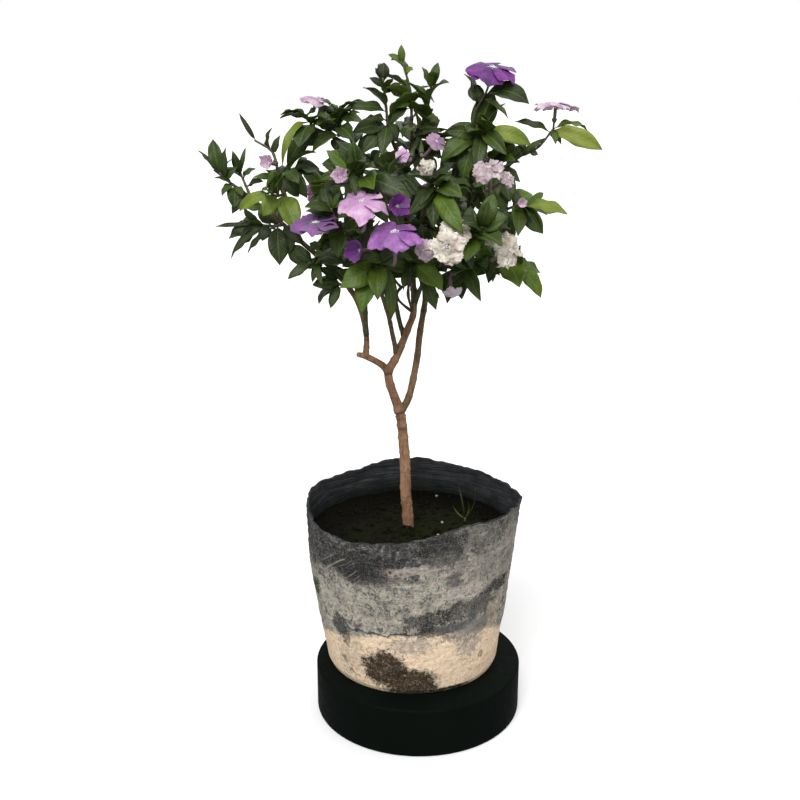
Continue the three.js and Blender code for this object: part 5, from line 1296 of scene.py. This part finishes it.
def bag_finish(settings):
    """Felt weathered in bands: dark at the rim, a grey bloom of salts, black water stains and a cream
    foot.
    """
    net = Finish("bag_outside", 0.95, Specular_IOR_Level=0.1)
    flat, across, up = bag_map(net)
    place = net.place()
    cloud = net.noise(place, 28, 9, 0.66, 0.6)
    blotch = net.noise(place, 85, 9, 0.72, 0.4)
    mottle = net.noise(place, 300, 6, 0.75)
    grain = net.noise(place, 1300, 3, 0.8)
    lines = net.noise(net.scaled(place, (50, 50, 800)), 1, 5, 0.75, 0.3)
    around = net.times(across, tau / FELT_LENGTH)
    torn = net.plus(net.times(blotch, 0.55), net.times(mottle, 0.5))
    torn = net.plus(torn, net.times(net.minus(grain, 0.65), 0.3))

    salts = net.ramp(blotch, ((0.34, settings.slate), (0.43, settings.stone), (0.52, settings.lichen),
                              (0.64, settings.lilac)))
    salts = net.tinge(salts, settings.ash, mottle, 0.53, 0.6, 0, 0.6)
    salts = net.tinge(salts, settings.lilac, mottle, 0.47, 0.38, 0, 0.6)
    rim = net.ramp(lines, ((0.38, settings.charcoal), (0.47, settings.ash), (0.56, settings.ash),
                           (0.66, settings.stone)))
    rim = net.tinge(rim, settings.charcoal, mottle, 0.5, 0.57, 0, 0.9)
    rim = net.tinge(rim, settings.lichen, mottle, 0.45, 0.38, 0, 0.5)
    rim = net.tinge(rim, settings.slate, blotch, 0.47, 0.57, 0, 0.45)
    rim = net.tinge(rim, salts, net.math("SINE", around), 0, 0.6, 0, 0.35)
    level = net.minus(up, net.times(net.math("SINE", around), 16))
    level = net.swayed(level, cloud, 60)
    level = net.swayed(level, torn, 60)
    colour = net.tinge(salts, rim, level, 112, 122)
    flecks = net.noise(place, 190, 5, 0.8, 0.8)
    light = net.times(net.remap(flecks, 0.54, 0.62, 0, 0.55), net.remap(level, 124, 110, 0.4, 1))
    colour = net.blend(light, colour, settings.lilac)
    colour = net.tinge(colour, settings.charcoal, flecks, 0.46, 0.38, 0, 0.8)

    bow = net.times(net.minus(1, net.math("COSINE", around)), 35)
    bow = net.math("MINIMUM", bow, 26)
    foot_line = net.swayed(net.plus(up, bow), torn, 26)
    cream = net.ramp(mottle, ((0.36, settings.sand), (0.47, settings.cream), (0.6, settings.peach)))
    cream = net.tinge(cream, settings.sand, blotch, 0.55, 0.66, 0, 0.4)
    colour = net.tinge(colour, cream, foot_line, 62, 59)

    worn = net.times(net.remap(mottle, 0.6, 0.46, 0.55, 1), net.remap(grain, 0.66, 0.52, 0.6, 1))
    for mark, at_x, at_y, wide, high, ragged, weight in BAG_MARKS:
        mask = net.patch(flat, at_x, at_y, wide, high, ragged, torn)
        mask = net.times(net.times(mask, weight), worn)
        colour = net.blend(mask, colour, getattr(settings, mark))

    moss = net.ramp(mottle, ((0.4, settings.moss_dark), (0.56, settings.moss_brown),
                             (0.76, settings.sand)))
    for at_x, at_y, wide, high in BAG_MOSS:
        mask = net.patch(flat, at_x, at_y, wide, high, 0.65, torn)
        colour = net.blend(net.times(mask, 0.98), colour, moss)

    drift = net.swayed(up, blotch, 20)
    off = net.math("ABSOLUTE", net.minus(drift, 61))
    crack = net.remap(net.plus(off, net.times(mottle, 2)), 1.4, 2.6, 1, 0)
    crack = net.times(crack, net.remap(across, -64, -56))
    crack = net.times(crack, net.remap(across, 6, -4))
    colour = net.blend(net.times(crack, 0.9), colour, settings.charcoal)

    specks = net.noise(place, 620, 3, 0.75, 0.5)
    pits = net.remap(specks, 0.4, 0.35, 0, 0.9)
    pits = net.times(pits, net.remap(blotch, 0.42, 0.54, 0.5, 1))
    pits = net.times(pits, net.remap(foot_line, 40, 62, 0.45, 1))
    colour = net.blend(pits, colour, settings.charcoal)
    scored = net.noise(net.scaled(net.spun(flat, -0.7), (0.025, 0.5, 1)), 1, 3, 0.6)
    scores = net.patch(flat, -62, 113, 20, 20, 0.6, torn)
    scores = net.times(scores, net.remap(scored, 0.54, 0.62, 0, 0.6))
    colour = net.blend(scores, colour, settings.lichen)
    colour = net.tinge(colour, settings.lilac, grain, 0.56, 0.68, 0, 0.55)
    colour = net.tinge(colour, settings.ash, grain, 0.45, 0.33, 0, 0.55)
    relief = net.minus(net.plus(blotch, mottle), net.times(pits, 0.5))
    creased = net.times(lines, net.remap(up, 70, 130, 0.3, 1.6))
    normal = net.bump(net.plus(relief, creased), 0.0016, 0.8)
    return net.done(colour, net.bump(grain, 0.0004, 0.6, normal))


def bag_inside_finish(settings):
    """The inner wall and the rim: charcoal felt with fine level wrinkles and a little dry salt, and
    painted shade just above the soil.
    """
    net = Finish("bag_inside", 0.95, Specular_IOR_Level=0.1)
    place = net.place()
    cloud = net.noise(place, 60, 6, 0.7)
    level = net.noise(net.scaled(place, (40, 40, 1000)), 1, 5, 0.75, 0.3)
    colour = net.ramp(level, ((0.36, settings.charcoal), (0.52, settings.ash), (0.66, settings.slate)))
    colour = net.tinge(colour, settings.charcoal, cloud, 0.4, 0.62, 0.5, 0)
    up = bag_map(net)[2]
    # Painted shade: the inner wall goes darker down towards the soil.
    colour = net.tinge(colour, settings.inner_wall_shade, up, 136, 118, 0, 0.8, True)
    return net.done(colour, net.bump(level, 0.002, 0.9))


def floor_finish(settings):
    """A plain pale floor with the least variation."""
    net = Finish("pale_floor", 0.9)
    cloud = net.noise(net.place(), 3, 2)
    return net.done(net.tinge(settings.floor, (0.8, 0.8, 0.8), cloud, 0, 1, 0, 0.03))


def colour_of(label, help_text, *channels):
    return FloatVectorProperty(name=label, description=help_text, subtype="COLOR", size=3, min=0, max=1,
                               default=linear(*channels))


def length_of(label, help_text, millimetres):
    return FloatProperty(name=label, description=help_text, default=millimetres * MM, unit="LENGTH")


class StandSettings(bpy.types.PropertyGroup):
    radius: length_of("Radius", "Radius of the stand", STAND_RADIUS)
    height: length_of("Height", "Height of the stand", STAND_HEIGHT)
    edge: length_of("Edge", "Width of the rounded edges", STAND_EDGE)
    black: colour_of("Lacquer", "The lacquer", 9, 14, 11)
    dust: colour_of("Dust", "Dust on the lacquer", 12, 17, 14)
    scuff: colour_of("Scuffs", "Fine scuffs in the lacquer", 36, 41, 37)


class BagSettings(bpy.types.PropertyGroup):
    wrinkle: length_of("Wrinkles", "Depth of the level wrinkles", 0.7)
    dent: length_of("Dents", "Depth of the broad dents", 1.1)
    charcoal: colour_of("Charcoal", "Damp felt", 30, 32, 33)
    # Painted shade for the inner wall just above the soil.
    inner_wall_shade: colour_of("Damp", "Wet felt down by the soil", 16, 17, 15)
    ash: colour_of("Ash", "Dark felt at the rim", 64, 66, 67)
    slate: colour_of("Slate", "Dark grey felt", 92, 93, 96)
    stone: colour_of("Stone", "Grey bloom of salts", 157, 150, 143)
    lichen: colour_of("Lichen", "Greenish bloom of salts", 178, 178, 158)
    lilac: colour_of("Pale salts", "Pale bloom of salts", 210, 196, 187)
    cream: colour_of("Cream", "The pale foot of the bag", 252, 222, 186)
    sand: colour_of("Sand", "Darker grains in the foot", 226, 190, 150)
    peach: colour_of("Peach", "Warm spots in the foot", 255, 238, 212)
    moss_brown: colour_of("Moss stain", "Old moss on the foot", 66, 53, 31)
    moss_dark: colour_of("Dark moss stain", "The dark middle of the moss", 28, 22, 12)


class SoilSettings(bpy.types.PropertyGroup):
    crumbs: IntProperty(name="Crumbs", description="Number of loose crumbs", default=420, min=0)
    grains: IntProperty(name="Mineral grains", description="Number of white mineral grains", default=9,
                        min=0)
    # Damp soil colour, also used as painted shade round the soil's edge.
    wet_soil_and_rim_shade: colour_of("Damp soil", "Damp soil", 11, 10, 6)
    dry: colour_of("Dry soil", "Dry soil", 24, 21, 14)
    moss: colour_of("Moss", "Dark moss", 17, 19, 8)
    moss_light: colour_of("Light moss", "Light moss", 38, 42, 15)
    mineral: colour_of("Mineral", "White mineral grains", 205, 202, 194)


class PlantSettings(bpy.types.PropertyGroup):
    shade: colour_of("Deep green", "The darkest leaves", 32, 39, 20)
    dark: colour_of("Dark green", "Old leaves", 51, 66, 27)
    fresh: colour_of("Fresh green", "Leaves in full growth", 76, 100, 24)
    young: colour_of("Young green", "Young leaves", 134, 144, 60)
    back: colour_of("Leaf back", "The under side of leaves", 84, 100, 44)
    rib: colour_of("Ribs", "Midribs and veins", 122, 140, 72)
    stem: colour_of("Stem", "Green stems", 80, 84, 54)
    bough: colour_of("Young limbs", "Dull green bark of the young limbs", 78, 74, 54)
    twig: colour_of("Twig", "Older twigs", 92, 80, 60)
    tan: colour_of("Tan bark", "Bark of the trunk", 168, 129, 98)
    umber: colour_of("Brown bark", "Darker bark", 126, 94, 70)
    shadow: colour_of("Bark cracks", "Cracks and old nodes", 62, 46, 36)
    pore: colour_of("Pores", "Pale pores in the bark", 186, 158, 132)


class BloomSettings(bpy.types.PropertyGroup):
    purple: colour_of("Purple", "A new bloom", 134, 36, 152)
    violet: colour_of("Violet", "A bloom of a day", 176, 116, 184)
    lilac: colour_of("Lilac", "A bloom of two days", 222, 188, 210)
    pale: colour_of("Pale lilac", "A fading bloom", 226, 200, 212)
    fading: colour_of("Faded", "A nearly white bloom", 230, 214, 218)
    white: colour_of("White", "An old bloom", 248, 240, 226)
    eye: colour_of("Eye", "The white eye", 242, 238, 240)
    flush: colour_of("Flush", "The flush on the tube", 132, 100, 128)
    tube: colour_of("Tube", "The slender tube", 112, 110, 70)


class StageSettings(bpy.types.PropertyGroup):
    floor: colour_of("Floor", "The pale floor", 250, 250, 250)
    lens: FloatProperty(name="Lens", description="Focal length for a sensor 36 mm wide", default=50.8)
    key: FloatProperty(name="Key light", description="Strength of the soft front light", default=2.7)
    sky: FloatProperty(name="Sky", description="Strength of the light all round", default=0.5)


class ShrubSettings(bpy.types.PropertyGroup):
    stand: PointerProperty(type=StandSettings, name="Stand", description="The stand")
    bag: PointerProperty(type=BagSettings, name="Bag", description="The grow bag")
    soil: PointerProperty(type=SoilSettings, name="Soil", description="The soil")
    plant: PointerProperty(type=PlantSettings, name="Plant", description="Wood and leaves")
    bloom: PointerProperty(type=BloomSettings, name="Blooms", description="Blooms")
    stage: PointerProperty(type=StageSettings, name="Stage", description="Floor, light and camera")


def dress(piece, node):
    """A finished piece rides on the one body and stands for its CAD node."""
    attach(piece, "root")
    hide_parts(node)


class SHRUB_OT_stage(bpy.types.Operator):
    """Lay the pale floor, hang the soft lights and set the camera"""
    bl_idname = "shrub.stage"
    bl_label = "Stage"

    def execute(self, context):
        settings = context.scene.shrub.stage
        clear_selection()
        bpy.ops.mesh.primitive_circle_add(vertices=96, radius=12, fill_type="NGON")
        floor = context.object
        floor.name = "floor"
        floor.data.materials.append(floor_finish(settings))
        floor.visible_diffuse = False
        floor.visible_glossy = False
        for name, place, share, soft in SUNS:
            light = bpy.data.lights.new(name, "SUN")
            light.energy = settings.key * share
            light.angle = radians(soft)
            lamp = bpy.data.objects.new(name, light)
            lamp.location = place
            lamp.rotation_euler = Vector(place).to_track_quat("Z", "Y").to_euler()
            context.collection.objects.link(lamp)
        context.scene.world = self.sky(settings)
        context.scene.view_settings.view_transform = "Standard"
        lens = bpy.data.cameras.new("camera")
        lens.lens = settings.lens
        lens.sensor_width = 36
        camera = bpy.data.objects.new("camera", lens)
        camera.location = CAMERA_PLACE
        camera.rotation_euler = (radians(90 - CAMERA_DOWN), 0, radians(CAMERA_ASIDE))
        context.collection.objects.link(camera)
        context.scene.camera = camera
        return {"FINISHED"}

    @staticmethod
    def sky(settings):
        """A soft light all round, before a white backdrop."""
        world = bpy.data.worlds.new("sky")
        world.use_nodes = True
        tree = world.node_tree
        lit = tree.nodes["Background"]
        lit.inputs["Color"].default_value = (1, 1, 1, 1)
        lit.inputs["Strength"].default_value = settings.sky
        net = Net(tree)
        backdrop = net.node("ShaderNodeBackground", Color=(1, 1, 1), Strength=1.0)
        seen = net.node("ShaderNodeLightPath").outputs["Is Camera Ray"]
        mixed = net.node("ShaderNodeMixShader", Fac=seen)
        net.put(lit.outputs[0], mixed.inputs[1])
        net.put(backdrop.outputs[0], mixed.inputs[2])
        net.put(mixed.outputs[0], tree.nodes["World Output"].inputs["Surface"])
        return world


class SHRUB_OT_stand(bpy.types.Operator):
    """Turn the round black stand"""
    bl_idname = "shrub.stand"
    bl_label = "Stand"

    def execute(self, context):
        settings = context.scene.shrub.stand
        height, edge = settings.height, settings.edge
        clear_selection()
        bpy.ops.mesh.primitive_cylinder_add(vertices=160, radius=settings.radius, depth=height,
                                            location=(0, 0, height / 2))
        stand = context.object
        stand.name = "stand_turned"
        bpy.ops.object.transform_apply(location=True)
        begin_edit()
        pick(stand, lambda co: co.z > height - edge)
        bpy.ops.mesh.bevel(offset=edge, segments=5, affect="EDGES")
        pick(stand, lambda co: co.z < edge)
        bpy.ops.mesh.bevel(offset=edge, segments=4, affect="EDGES")
        bpy.ops.object.mode_set(mode="OBJECT")
        bpy.ops.object.shade_smooth_by_angle(angle=radians(40))
        stand.data.materials.append(stand_finish(settings))
        dress(stand, "stand")
        return {"FINISHED"}


class SHRUB_OT_bag(bpy.types.Operator):
    """Roll a sheet of felt into the slack, wrinkled grow bag"""
    bl_idname = "shrub.bag"
    bl_label = "Grow bag"

    def execute(self, context):
        settings = context.scene.shrub.bag
        columns, rows = 240, 124
        clear_selection()
        bpy.ops.mesh.primitive_grid_add(x_subdivisions=columns, y_subdivisions=rows, size=2)
        bag = context.object
        bag.name = "grow_bag_felt"
        for corner in bag.data.vertices:
            corner.co = self.rolled((corner.co.x + 1) / 2, (corner.co.y + 1) / 2, settings)
        begin_edit()
        bpy.ops.mesh.remove_doubles(threshold=1e-5)
        centre = (BAG_CENTRE[0] * MM, BAG_CENTRE[1] * MM, BAG_BOTTOM * MM)
        low = (BAG_BOTTOM + 0.1) * MM
        pick(bag, lambda co: co.z < low)
        for share in (0.75, 0.5, 0.25):
            bpy.ops.mesh.extrude_region_move()
            bpy.ops.transform.resize(value=(share, share, 1), center_override=centre)
        bpy.ops.mesh.merge(type="CENTER")
        end_edit()
        wall = bag.modifiers.new("Wall", "SOLIDIFY")
        wall.thickness = BAG_WALL * 0.85 * MM
        wall.offset = -1
        wall.material_offset = 1
        wall.material_offset_rim = 1
        bag.data.materials.append(bag_finish(settings))
        bag.data.materials.append(bag_inside_finish(settings))
        bpy.ops.object.modifier_apply(modifier="Wall")
        bpy.ops.object.shade_smooth()
        dress(bag, "grow_bag")
        return {"FINISHED"}

    @staticmethod
    def rolled(turn_share, share, settings):
        """A point of the flat felt, rolled round the bag; the seam stands at the back."""
        angle = tau * turn_share + pi / 2
        around = Vector((cos(angle), sin(angle), 0))
        top = rim_height(angle) + 1.6 * noise.noise(around * 5) + 1.1 * noise.noise(around * 13)
        top += 0.6 * noise.noise(around * 29)
        height = BAG_BOTTOM + (top - BAG_BOTTOM) * share
        rise = Vector((0, 0, height))
        level = noise.fractal(around * 2.4 + rise / 2.9, 0.7, 2.0, 3)
        broad = noise.noise(around * 2.6 + rise / 34)
        crease = noise.fractal(around * 9 + rise / 10, 0.7, 2.0, 3)
        depth = 0.25 + 0.75 * float(smooth(0.5, 0.95, share))
        foot = float(smooth(0, 0.15, share))
        across, up = (turn_share - 0.5) * FELT_LENGTH, share * FELT_HEIGHT
        at_x, at_y, wide, high, thick = FELT_LUMP
        lump = thick * exp(-((across - at_x) / wide) ** 2 - ((up - at_y) / high) ** 2)
        radius = bag_radius(angle, share) + lump
        wrinkles = settings.wrinkle / MM * depth * level
        radius += wrinkles + settings.dent / MM * foot * (broad + 0.5 * crease)
        radius += 1.3 * noise.noise(around * 9 + Vector((4, 0, 0))) * float(smooth(0.8, 1, share))
        radius -= 1.6 * float(smooth(0.035, 0.0, share))
        x, y = BAG_CENTRE[0] + radius * around.x, BAG_CENTRE[1] + radius * around.y
        return Vector((x * MM, y * MM, height * MM))


class SHRUB_OT_soil(bpy.types.Operator):
    """Fill the bag with soil, crumbs and mineral grains"""
    bl_idname = "shrub.soil"
    bl_label = "Soil"

    def execute(self, context):
        settings = context.scene.shrub.soil
        clear_selection()
        bpy.ops.mesh.primitive_circle_add(vertices=120, radius=1, fill_type="NOTHING")
        soil = context.object
        soil.name = "potting_soil"
        begin_edit()
        rings = 44
        for ring in range(rings - 1, 0, -1):
            bpy.ops.mesh.extrude_region_move()
            share = ring / (ring + 1)
            bpy.ops.transform.resize(value=(share, share, 1), center_override=(0, 0, 0))
        bpy.ops.mesh.merge(type="CENTER")
        pick(soil, lambda co: co.length > 0.999)
        bpy.ops.mesh.extrude_region_move(TRANSFORM_OT_translate={"value": (0, 0, -1)})
        bpy.ops.mesh.edge_face_add()
        end_edit()
        for corner in soil.data.vertices:
            corner.co = self.settled(corner.co)
        bpy.ops.object.shade_smooth()
        soil.data.materials.append(soil_finish(settings))
        dress(soil, "soil")
        self.scatter(context, settings)
        return {"FINISHED"}

    @staticmethod
    def settled(co):
        """A point of the flat disc, laid on the lumpy surface or down the bag's side."""
        angle = atan2(co.y, co.x)
        reach = min(1.0, hypot(co.x, co.y))
        if co.z < -0.5:
            x, y = in_bag(angle, (bag_radius(angle, 0.02) - BAG_WALL - 3) * reach)
            z = BAG_FLOOR + GAP
        else:
            x, y = in_bag(angle, (bag_radius(angle, SOIL_SHARE) - BAG_WALL + 0.4) * reach)
            z = soil_height(x, y)
        return Vector((x * MM, y * MM, z * MM))

    @staticmethod
    def scatter(context, settings):
        """Crumbs and grains, each a small lump sunk into the surface."""
        clear_selection()
        bpy.ops.mesh.primitive_ico_sphere_add(subdivisions=1, radius=1)
        lump = context.object
        seed = np.array([v.co for v in lump.data.vertices])
        faces = [tuple(p.vertices) for p in lump.data.polygons]
        bpy.data.objects.remove(lump)
        heap = Heap()
        total = settings.crumbs + settings.grains
        for k in range(total):
            mineral = k >= settings.crumbs
            angle = tau * draw(k, 51)
            reach = sqrt(draw(k, 52)) * 0.97
            x, y = in_bag(angle, (bag_radius(angle, SOIL_SHARE) - BAG_WALL - 1.5) * reach)
            size = 0.7 + 1.9 * draw(k, 53) ** 2
            stretch = np.array((1 + draw(k, 54), 0.7 + 0.5 * draw(k, 55), 0.6 + 0.4 * draw(k, 56)))
            if mineral:
                size, stretch = 0.9 + 0.9 * draw(k, 53), np.array((1.1, 0.9, 0.8))
            turn = tau * draw(k, 57)
            rough = np.array([1 + 0.45 * (draw(k, 58, i) - 0.5) for i in range(len(seed))])
            body = seed * rough[:, None] * stretch * size
            spun = np.stack((body[:, 0] * cos(turn) - body[:, 1] * sin(turn),
                             body[:, 0] * sin(turn) + body[:, 1] * cos(turn), body[:, 2]), 1)
            points = spun + np.array((x, y, soil_height(x, y) + 0.25 * size))
            finishes = [int(mineral)] * len(faces)
            heap.add(points, faces, finishes, np.zeros((3 * len(faces), 2)), draw(k, 59))
        crumbs = heap.build("soil_crumbs", [
            crumb_finish("crumb", settings.dry, settings.wet_soil_and_rim_shade),
            crumb_finish("mineral_grain", settings.mineral, settings.dry)])
        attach(crumbs, "root")


def soil_height(x, y):
    """The lumpy surface of the soil, a little higher round the trunk."""
    place = Vector((x, y, 0))
    lumps = 1.3 * noise.fractal(place / 17, 0.6, 2.0, 4) + 0.8 * noise.fractal(place / 4.5, 0.6, 2.0, 3)
    trunk = LIMBS["trunk"][2][0]
    mound = 2.0 * exp(-((x - trunk[0]) ** 2 + (y - trunk[1]) ** 2) / 260)
    return SOIL_HEIGHT - 0.6 + lumps + mound


class SHRUB_OT_weed(bpy.types.Operator):
    """Grow the tuft of grass in the soil"""
    bl_idname = "shrub.weed"
    bl_label = "Weed"

    def execute(self, context):
        settings = context.scene.shrub.plant
        blade = Sheet(12, 4, leaf_outline(0.35, 0.3))
        heap = Heap()
        x, y, low = WEED_FOOT
        foot = Run([(x, y, low), (x, y, SOIL_HEIGHT - 4), (x, y, SOIL_HEIGHT + 2)])
        tube(heap, rings_along(foot, lambda t, way: WEED_STEM * (1 - 0.2 * t), 2.0), 10, 2)
        root = np.array((x, y, SOIL_HEIGHT + 1.0))
        for k, tip in enumerate(WEED_TIPS):
            shape = {"root": root, "tip": np.array(tip, float), "width": 2.0, "look": FRONT_LOOK,
                     "arch": 0.1, "roll": 1.2 * k, "wave": 0.0, "tone": 0.03 + 0.05 * k, "key": (90, k)}
            lay_leaf(heap, blade, shape, thickness=0.3)
        weed = heap.build("weed_tuft", green_finishes(settings))
        dress(weed, "weed")
        return {"FINISHED"}


class SHRUB_OT_wood(bpy.types.Operator):
    """Grow the trunk and the limbs with their bark"""
    bl_idname = "shrub.wood"
    bl_label = "Wood"

    def execute(self, context):
        settings = context.scene.shrub.plant
        heap = Heap()
        for index, (name, (thick, thin, _)) in enumerate(LIMBS.items()):
            run = LIMB_RUNS[name]
            sides = 20 if thick > 3 else 12
            collar = 0.0 if name == "trunk" else 0.35
            full = 1 if WOOD_TONES.get(name) == 1 else LIMB_FULLNESS

            def radius(t, way):
                bark = mix(thick, thin, t) * full * (1 + collar * exp(-way / 5))
                knot = 1 + 0.14 * exp(-(((way + 7 * index) % 19 - 9) / 1.5) ** 2)
                ring = []
                for j in range(sides):
                    around = tau * j / sides
                    spot = Vector((cos(around) * 0.8, sin(around) * 0.8, way / 9 + 7 * index))
                    ring.append(bark * knot * (1 + 0.09 * noise.noise(spot)))
                return ring

            rings = rings_along(run, radius, 2.4 if thick > 3 else 3.0)
            end, heading, last = rings[-1]
            rings.append((end + heading * 0.5 * thin, heading, [r * 0.75 for r in last]))
            rings.append((end + heading * 0.8 * thin, heading, [r * 0.35 for r in last]))
            tube(heap, rings, sides, 0, WOOD_TONES.get(name, 0.15 * draw(index, 51)))
        for index, points in enumerate(TWIGS):
            run = Run(points)
            rings = rings_along(run, lambda t, way: TWIG_RADIUS * (1 + 0.15 * sin(23 * t)), 2.5)
            tube(heap, rings, 8, 0, 0.0)
        wood = heap.build("wood_bark", [bark_finish(settings)])
        dress(wood, "wood")
        return {"FINISHED"}


class SHRUB_OT_shoots(bpy.types.Operator):
    """Grow the green shoots with their waved leaves, stalks and calyces"""
    bl_idname = "shrub.shoots"
    bl_label = "Shoots"

    def execute(self, context):
        settings = context.scene.shrub.plant
        long_blade = Sheet(14, 6, leaf_outline(0.5, 0.4))
        short_blade = Sheet(10, 4, leaf_outline(0.48, 0.3))
        finishes = [*green_finishes(settings), calyx_finish(settings)]
        for index, shoot in enumerate(SHOOTS):
            heap = Heap()
            curve, start = stem_of(shoot)
            tube(heap, rings_along(curve, lambda t, way: stem_radius(t, start), 2.5, start), 9, 2)
            for bloom in BLOOMS:
                if bloom[1] == shoot[0]:
                    lay_stalk(heap, bloom, 3)
            for shape in grown_leaves(index) + filling_leaves(index):
                reach = norm(shape["tip"] - shape["root"])
                lay_leaf(heap, short_blade if reach < SHORT_BLADE else long_blade, shape)
            piece = heap.build("leaves_" + shoot[0], finishes)
            dress(piece, "shoot_" + shoot[0])
        self.small_leaves(short_blade, finishes)
        return {"FINISHED"}

    @staticmethod
    def small_leaves(blade, finishes):
        """The small leaves between the shoots, in one piece."""
        heap = Heap()
        for k, (bearer, place, tip, width, tone) in enumerate(SMALL_LEAVES):
            if bearer.endswith("*"):
                run = stem_of(SHOOTS[SHOOT_INDEX[bearer[:-1]]])[0]
            else:
                run = LIMB_RUNS[bearer]
            leaf = (run.at(place), np.array(tip, float), width, 0.08 + 0.1 * draw(k, 31),
                    FRONT_LOOK, (70, k), tone)
            lay_leaf(heap, blade, leaf_try(leaf, 0))
        for index, name in enumerate(INNER_LIMBS):
            for leaf in limb_leaves(index, LIMB_RUNS[name]):
                lay_leaf(heap, blade, leaf_try(leaf, 0))
        piece = heap.build("leaves_between", finishes)
        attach(piece, "root")


class SHRUB_OT_blooms(bpy.types.Operator):
    """Open the blooms, each with five layered lobes on its tube"""
    bl_idname = "shrub.blooms"
    bl_label = "Blooms"

    def execute(self, context):
        settings = context.scene.shrub.bloom
        lobe = Sheet(14, 10, lobe_outline)
        ages = {
            "purple": (settings.purple, linear(66, 20, 88), 0.1),
            "violet": (settings.violet, linear(120, 62, 140), 0.1),
            "lilac": (settings.lilac, linear(186, 132, 186), 0.0),
            "pale": (settings.pale, linear(166, 128, 162), 0.2),
            "fading": (settings.fading, linear(168, 142, 150), 0.5),
            "white": (settings.white, linear(178, 164, 146), 0.7),
        }
        finishes = {age: petal_finish("petal_" + age, tuple(colour), deep, tuple(settings.eye), spots)
                    for age, (colour, deep, spots) in ages.items()}
        below = [tube_finish(settings), eye_finish(settings)]
        for index, bloom in enumerate(BLOOMS):
            heap = Heap()
            self.corolla(heap, lobe, bloom, index, 0, 1)
            piece = heap.build(f"bloom_{bloom[0]}_petals", [finishes[bloom[6]], *below])
            dress(piece, "bloom_" + bloom[0])
        heap = Heap()
        names = list(finishes)
        for index, bloom in enumerate(SMALL_BLOOMS):
            self.corolla(heap, lobe, bloom, 60 + index, names.index(bloom[6]), len(names))
            lay_stalk(heap, bloom, len(names) + 2)
        finishes = [*finishes.values(), *below, bpy.data.materials["calyx"]]
        piece = heap.build("blooms_small", finishes)
        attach(piece, "root")
        return {"FINISHED"}

    @staticmethod
    def corolla(heap, lobe, bloom, index, finish, below):
        line, face, centre, reach, _ = stalk_of(bloom)
        lay_lobes(heap, lobe, bloom, index, face, centre, finish)
        lay_throat(heap, line, face, centre, reach, bloom[5], below)


OPERATORS = (SHRUB_OT_stage, SHRUB_OT_stand, SHRUB_OT_bag, SHRUB_OT_soil, SHRUB_OT_weed, SHRUB_OT_wood,
             SHRUB_OT_shoots, SHRUB_OT_blooms)


class SHRUB_PT_panel(bpy.types.Panel):
    """The shrub's sizes, colours and build steps"""
    bl_label = "Potted Shrub"
    bl_space_type = "VIEW_3D"
    bl_region_type = "UI"
    bl_category = "Shrub"

    def draw(self, context):
        for group in ShrubSettings.__annotations__:
            settings = getattr(context.scene.shrub, group)
            box = self.layout.box()
            box.label(text=group.title())
            for name in type(settings).__annotations__:
                box.prop(settings, name)
        for operator in OPERATORS:
            self.layout.operator(operator.bl_idname)


CLASSES = (StandSettings, BagSettings, SoilSettings, PlantSettings, BloomSettings, StageSettings,
           ShrubSettings, *OPERATORS, SHRUB_PT_panel)


def register():
    for item in CLASSES:
        bpy.utils.register_class(item)
    bpy.types.Scene.shrub = PointerProperty(type=ShrubSettings)


def unregister():
    del bpy.types.Scene.shrub
    for item in reversed(CLASSES):
        bpy.utils.unregister_class(item)


def main():
    register()
    bpy.ops.shrub.stage()
    bpy.ops.shrub.stand()
    bpy.ops.shrub.bag()
    bpy.ops.shrub.soil()
    bpy.ops.shrub.weed()
    bpy.ops.shrub.wood()
    bpy.ops.shrub.shoots()
    bpy.ops.shrub.blooms()


if __name__ == "__main__":
    main()
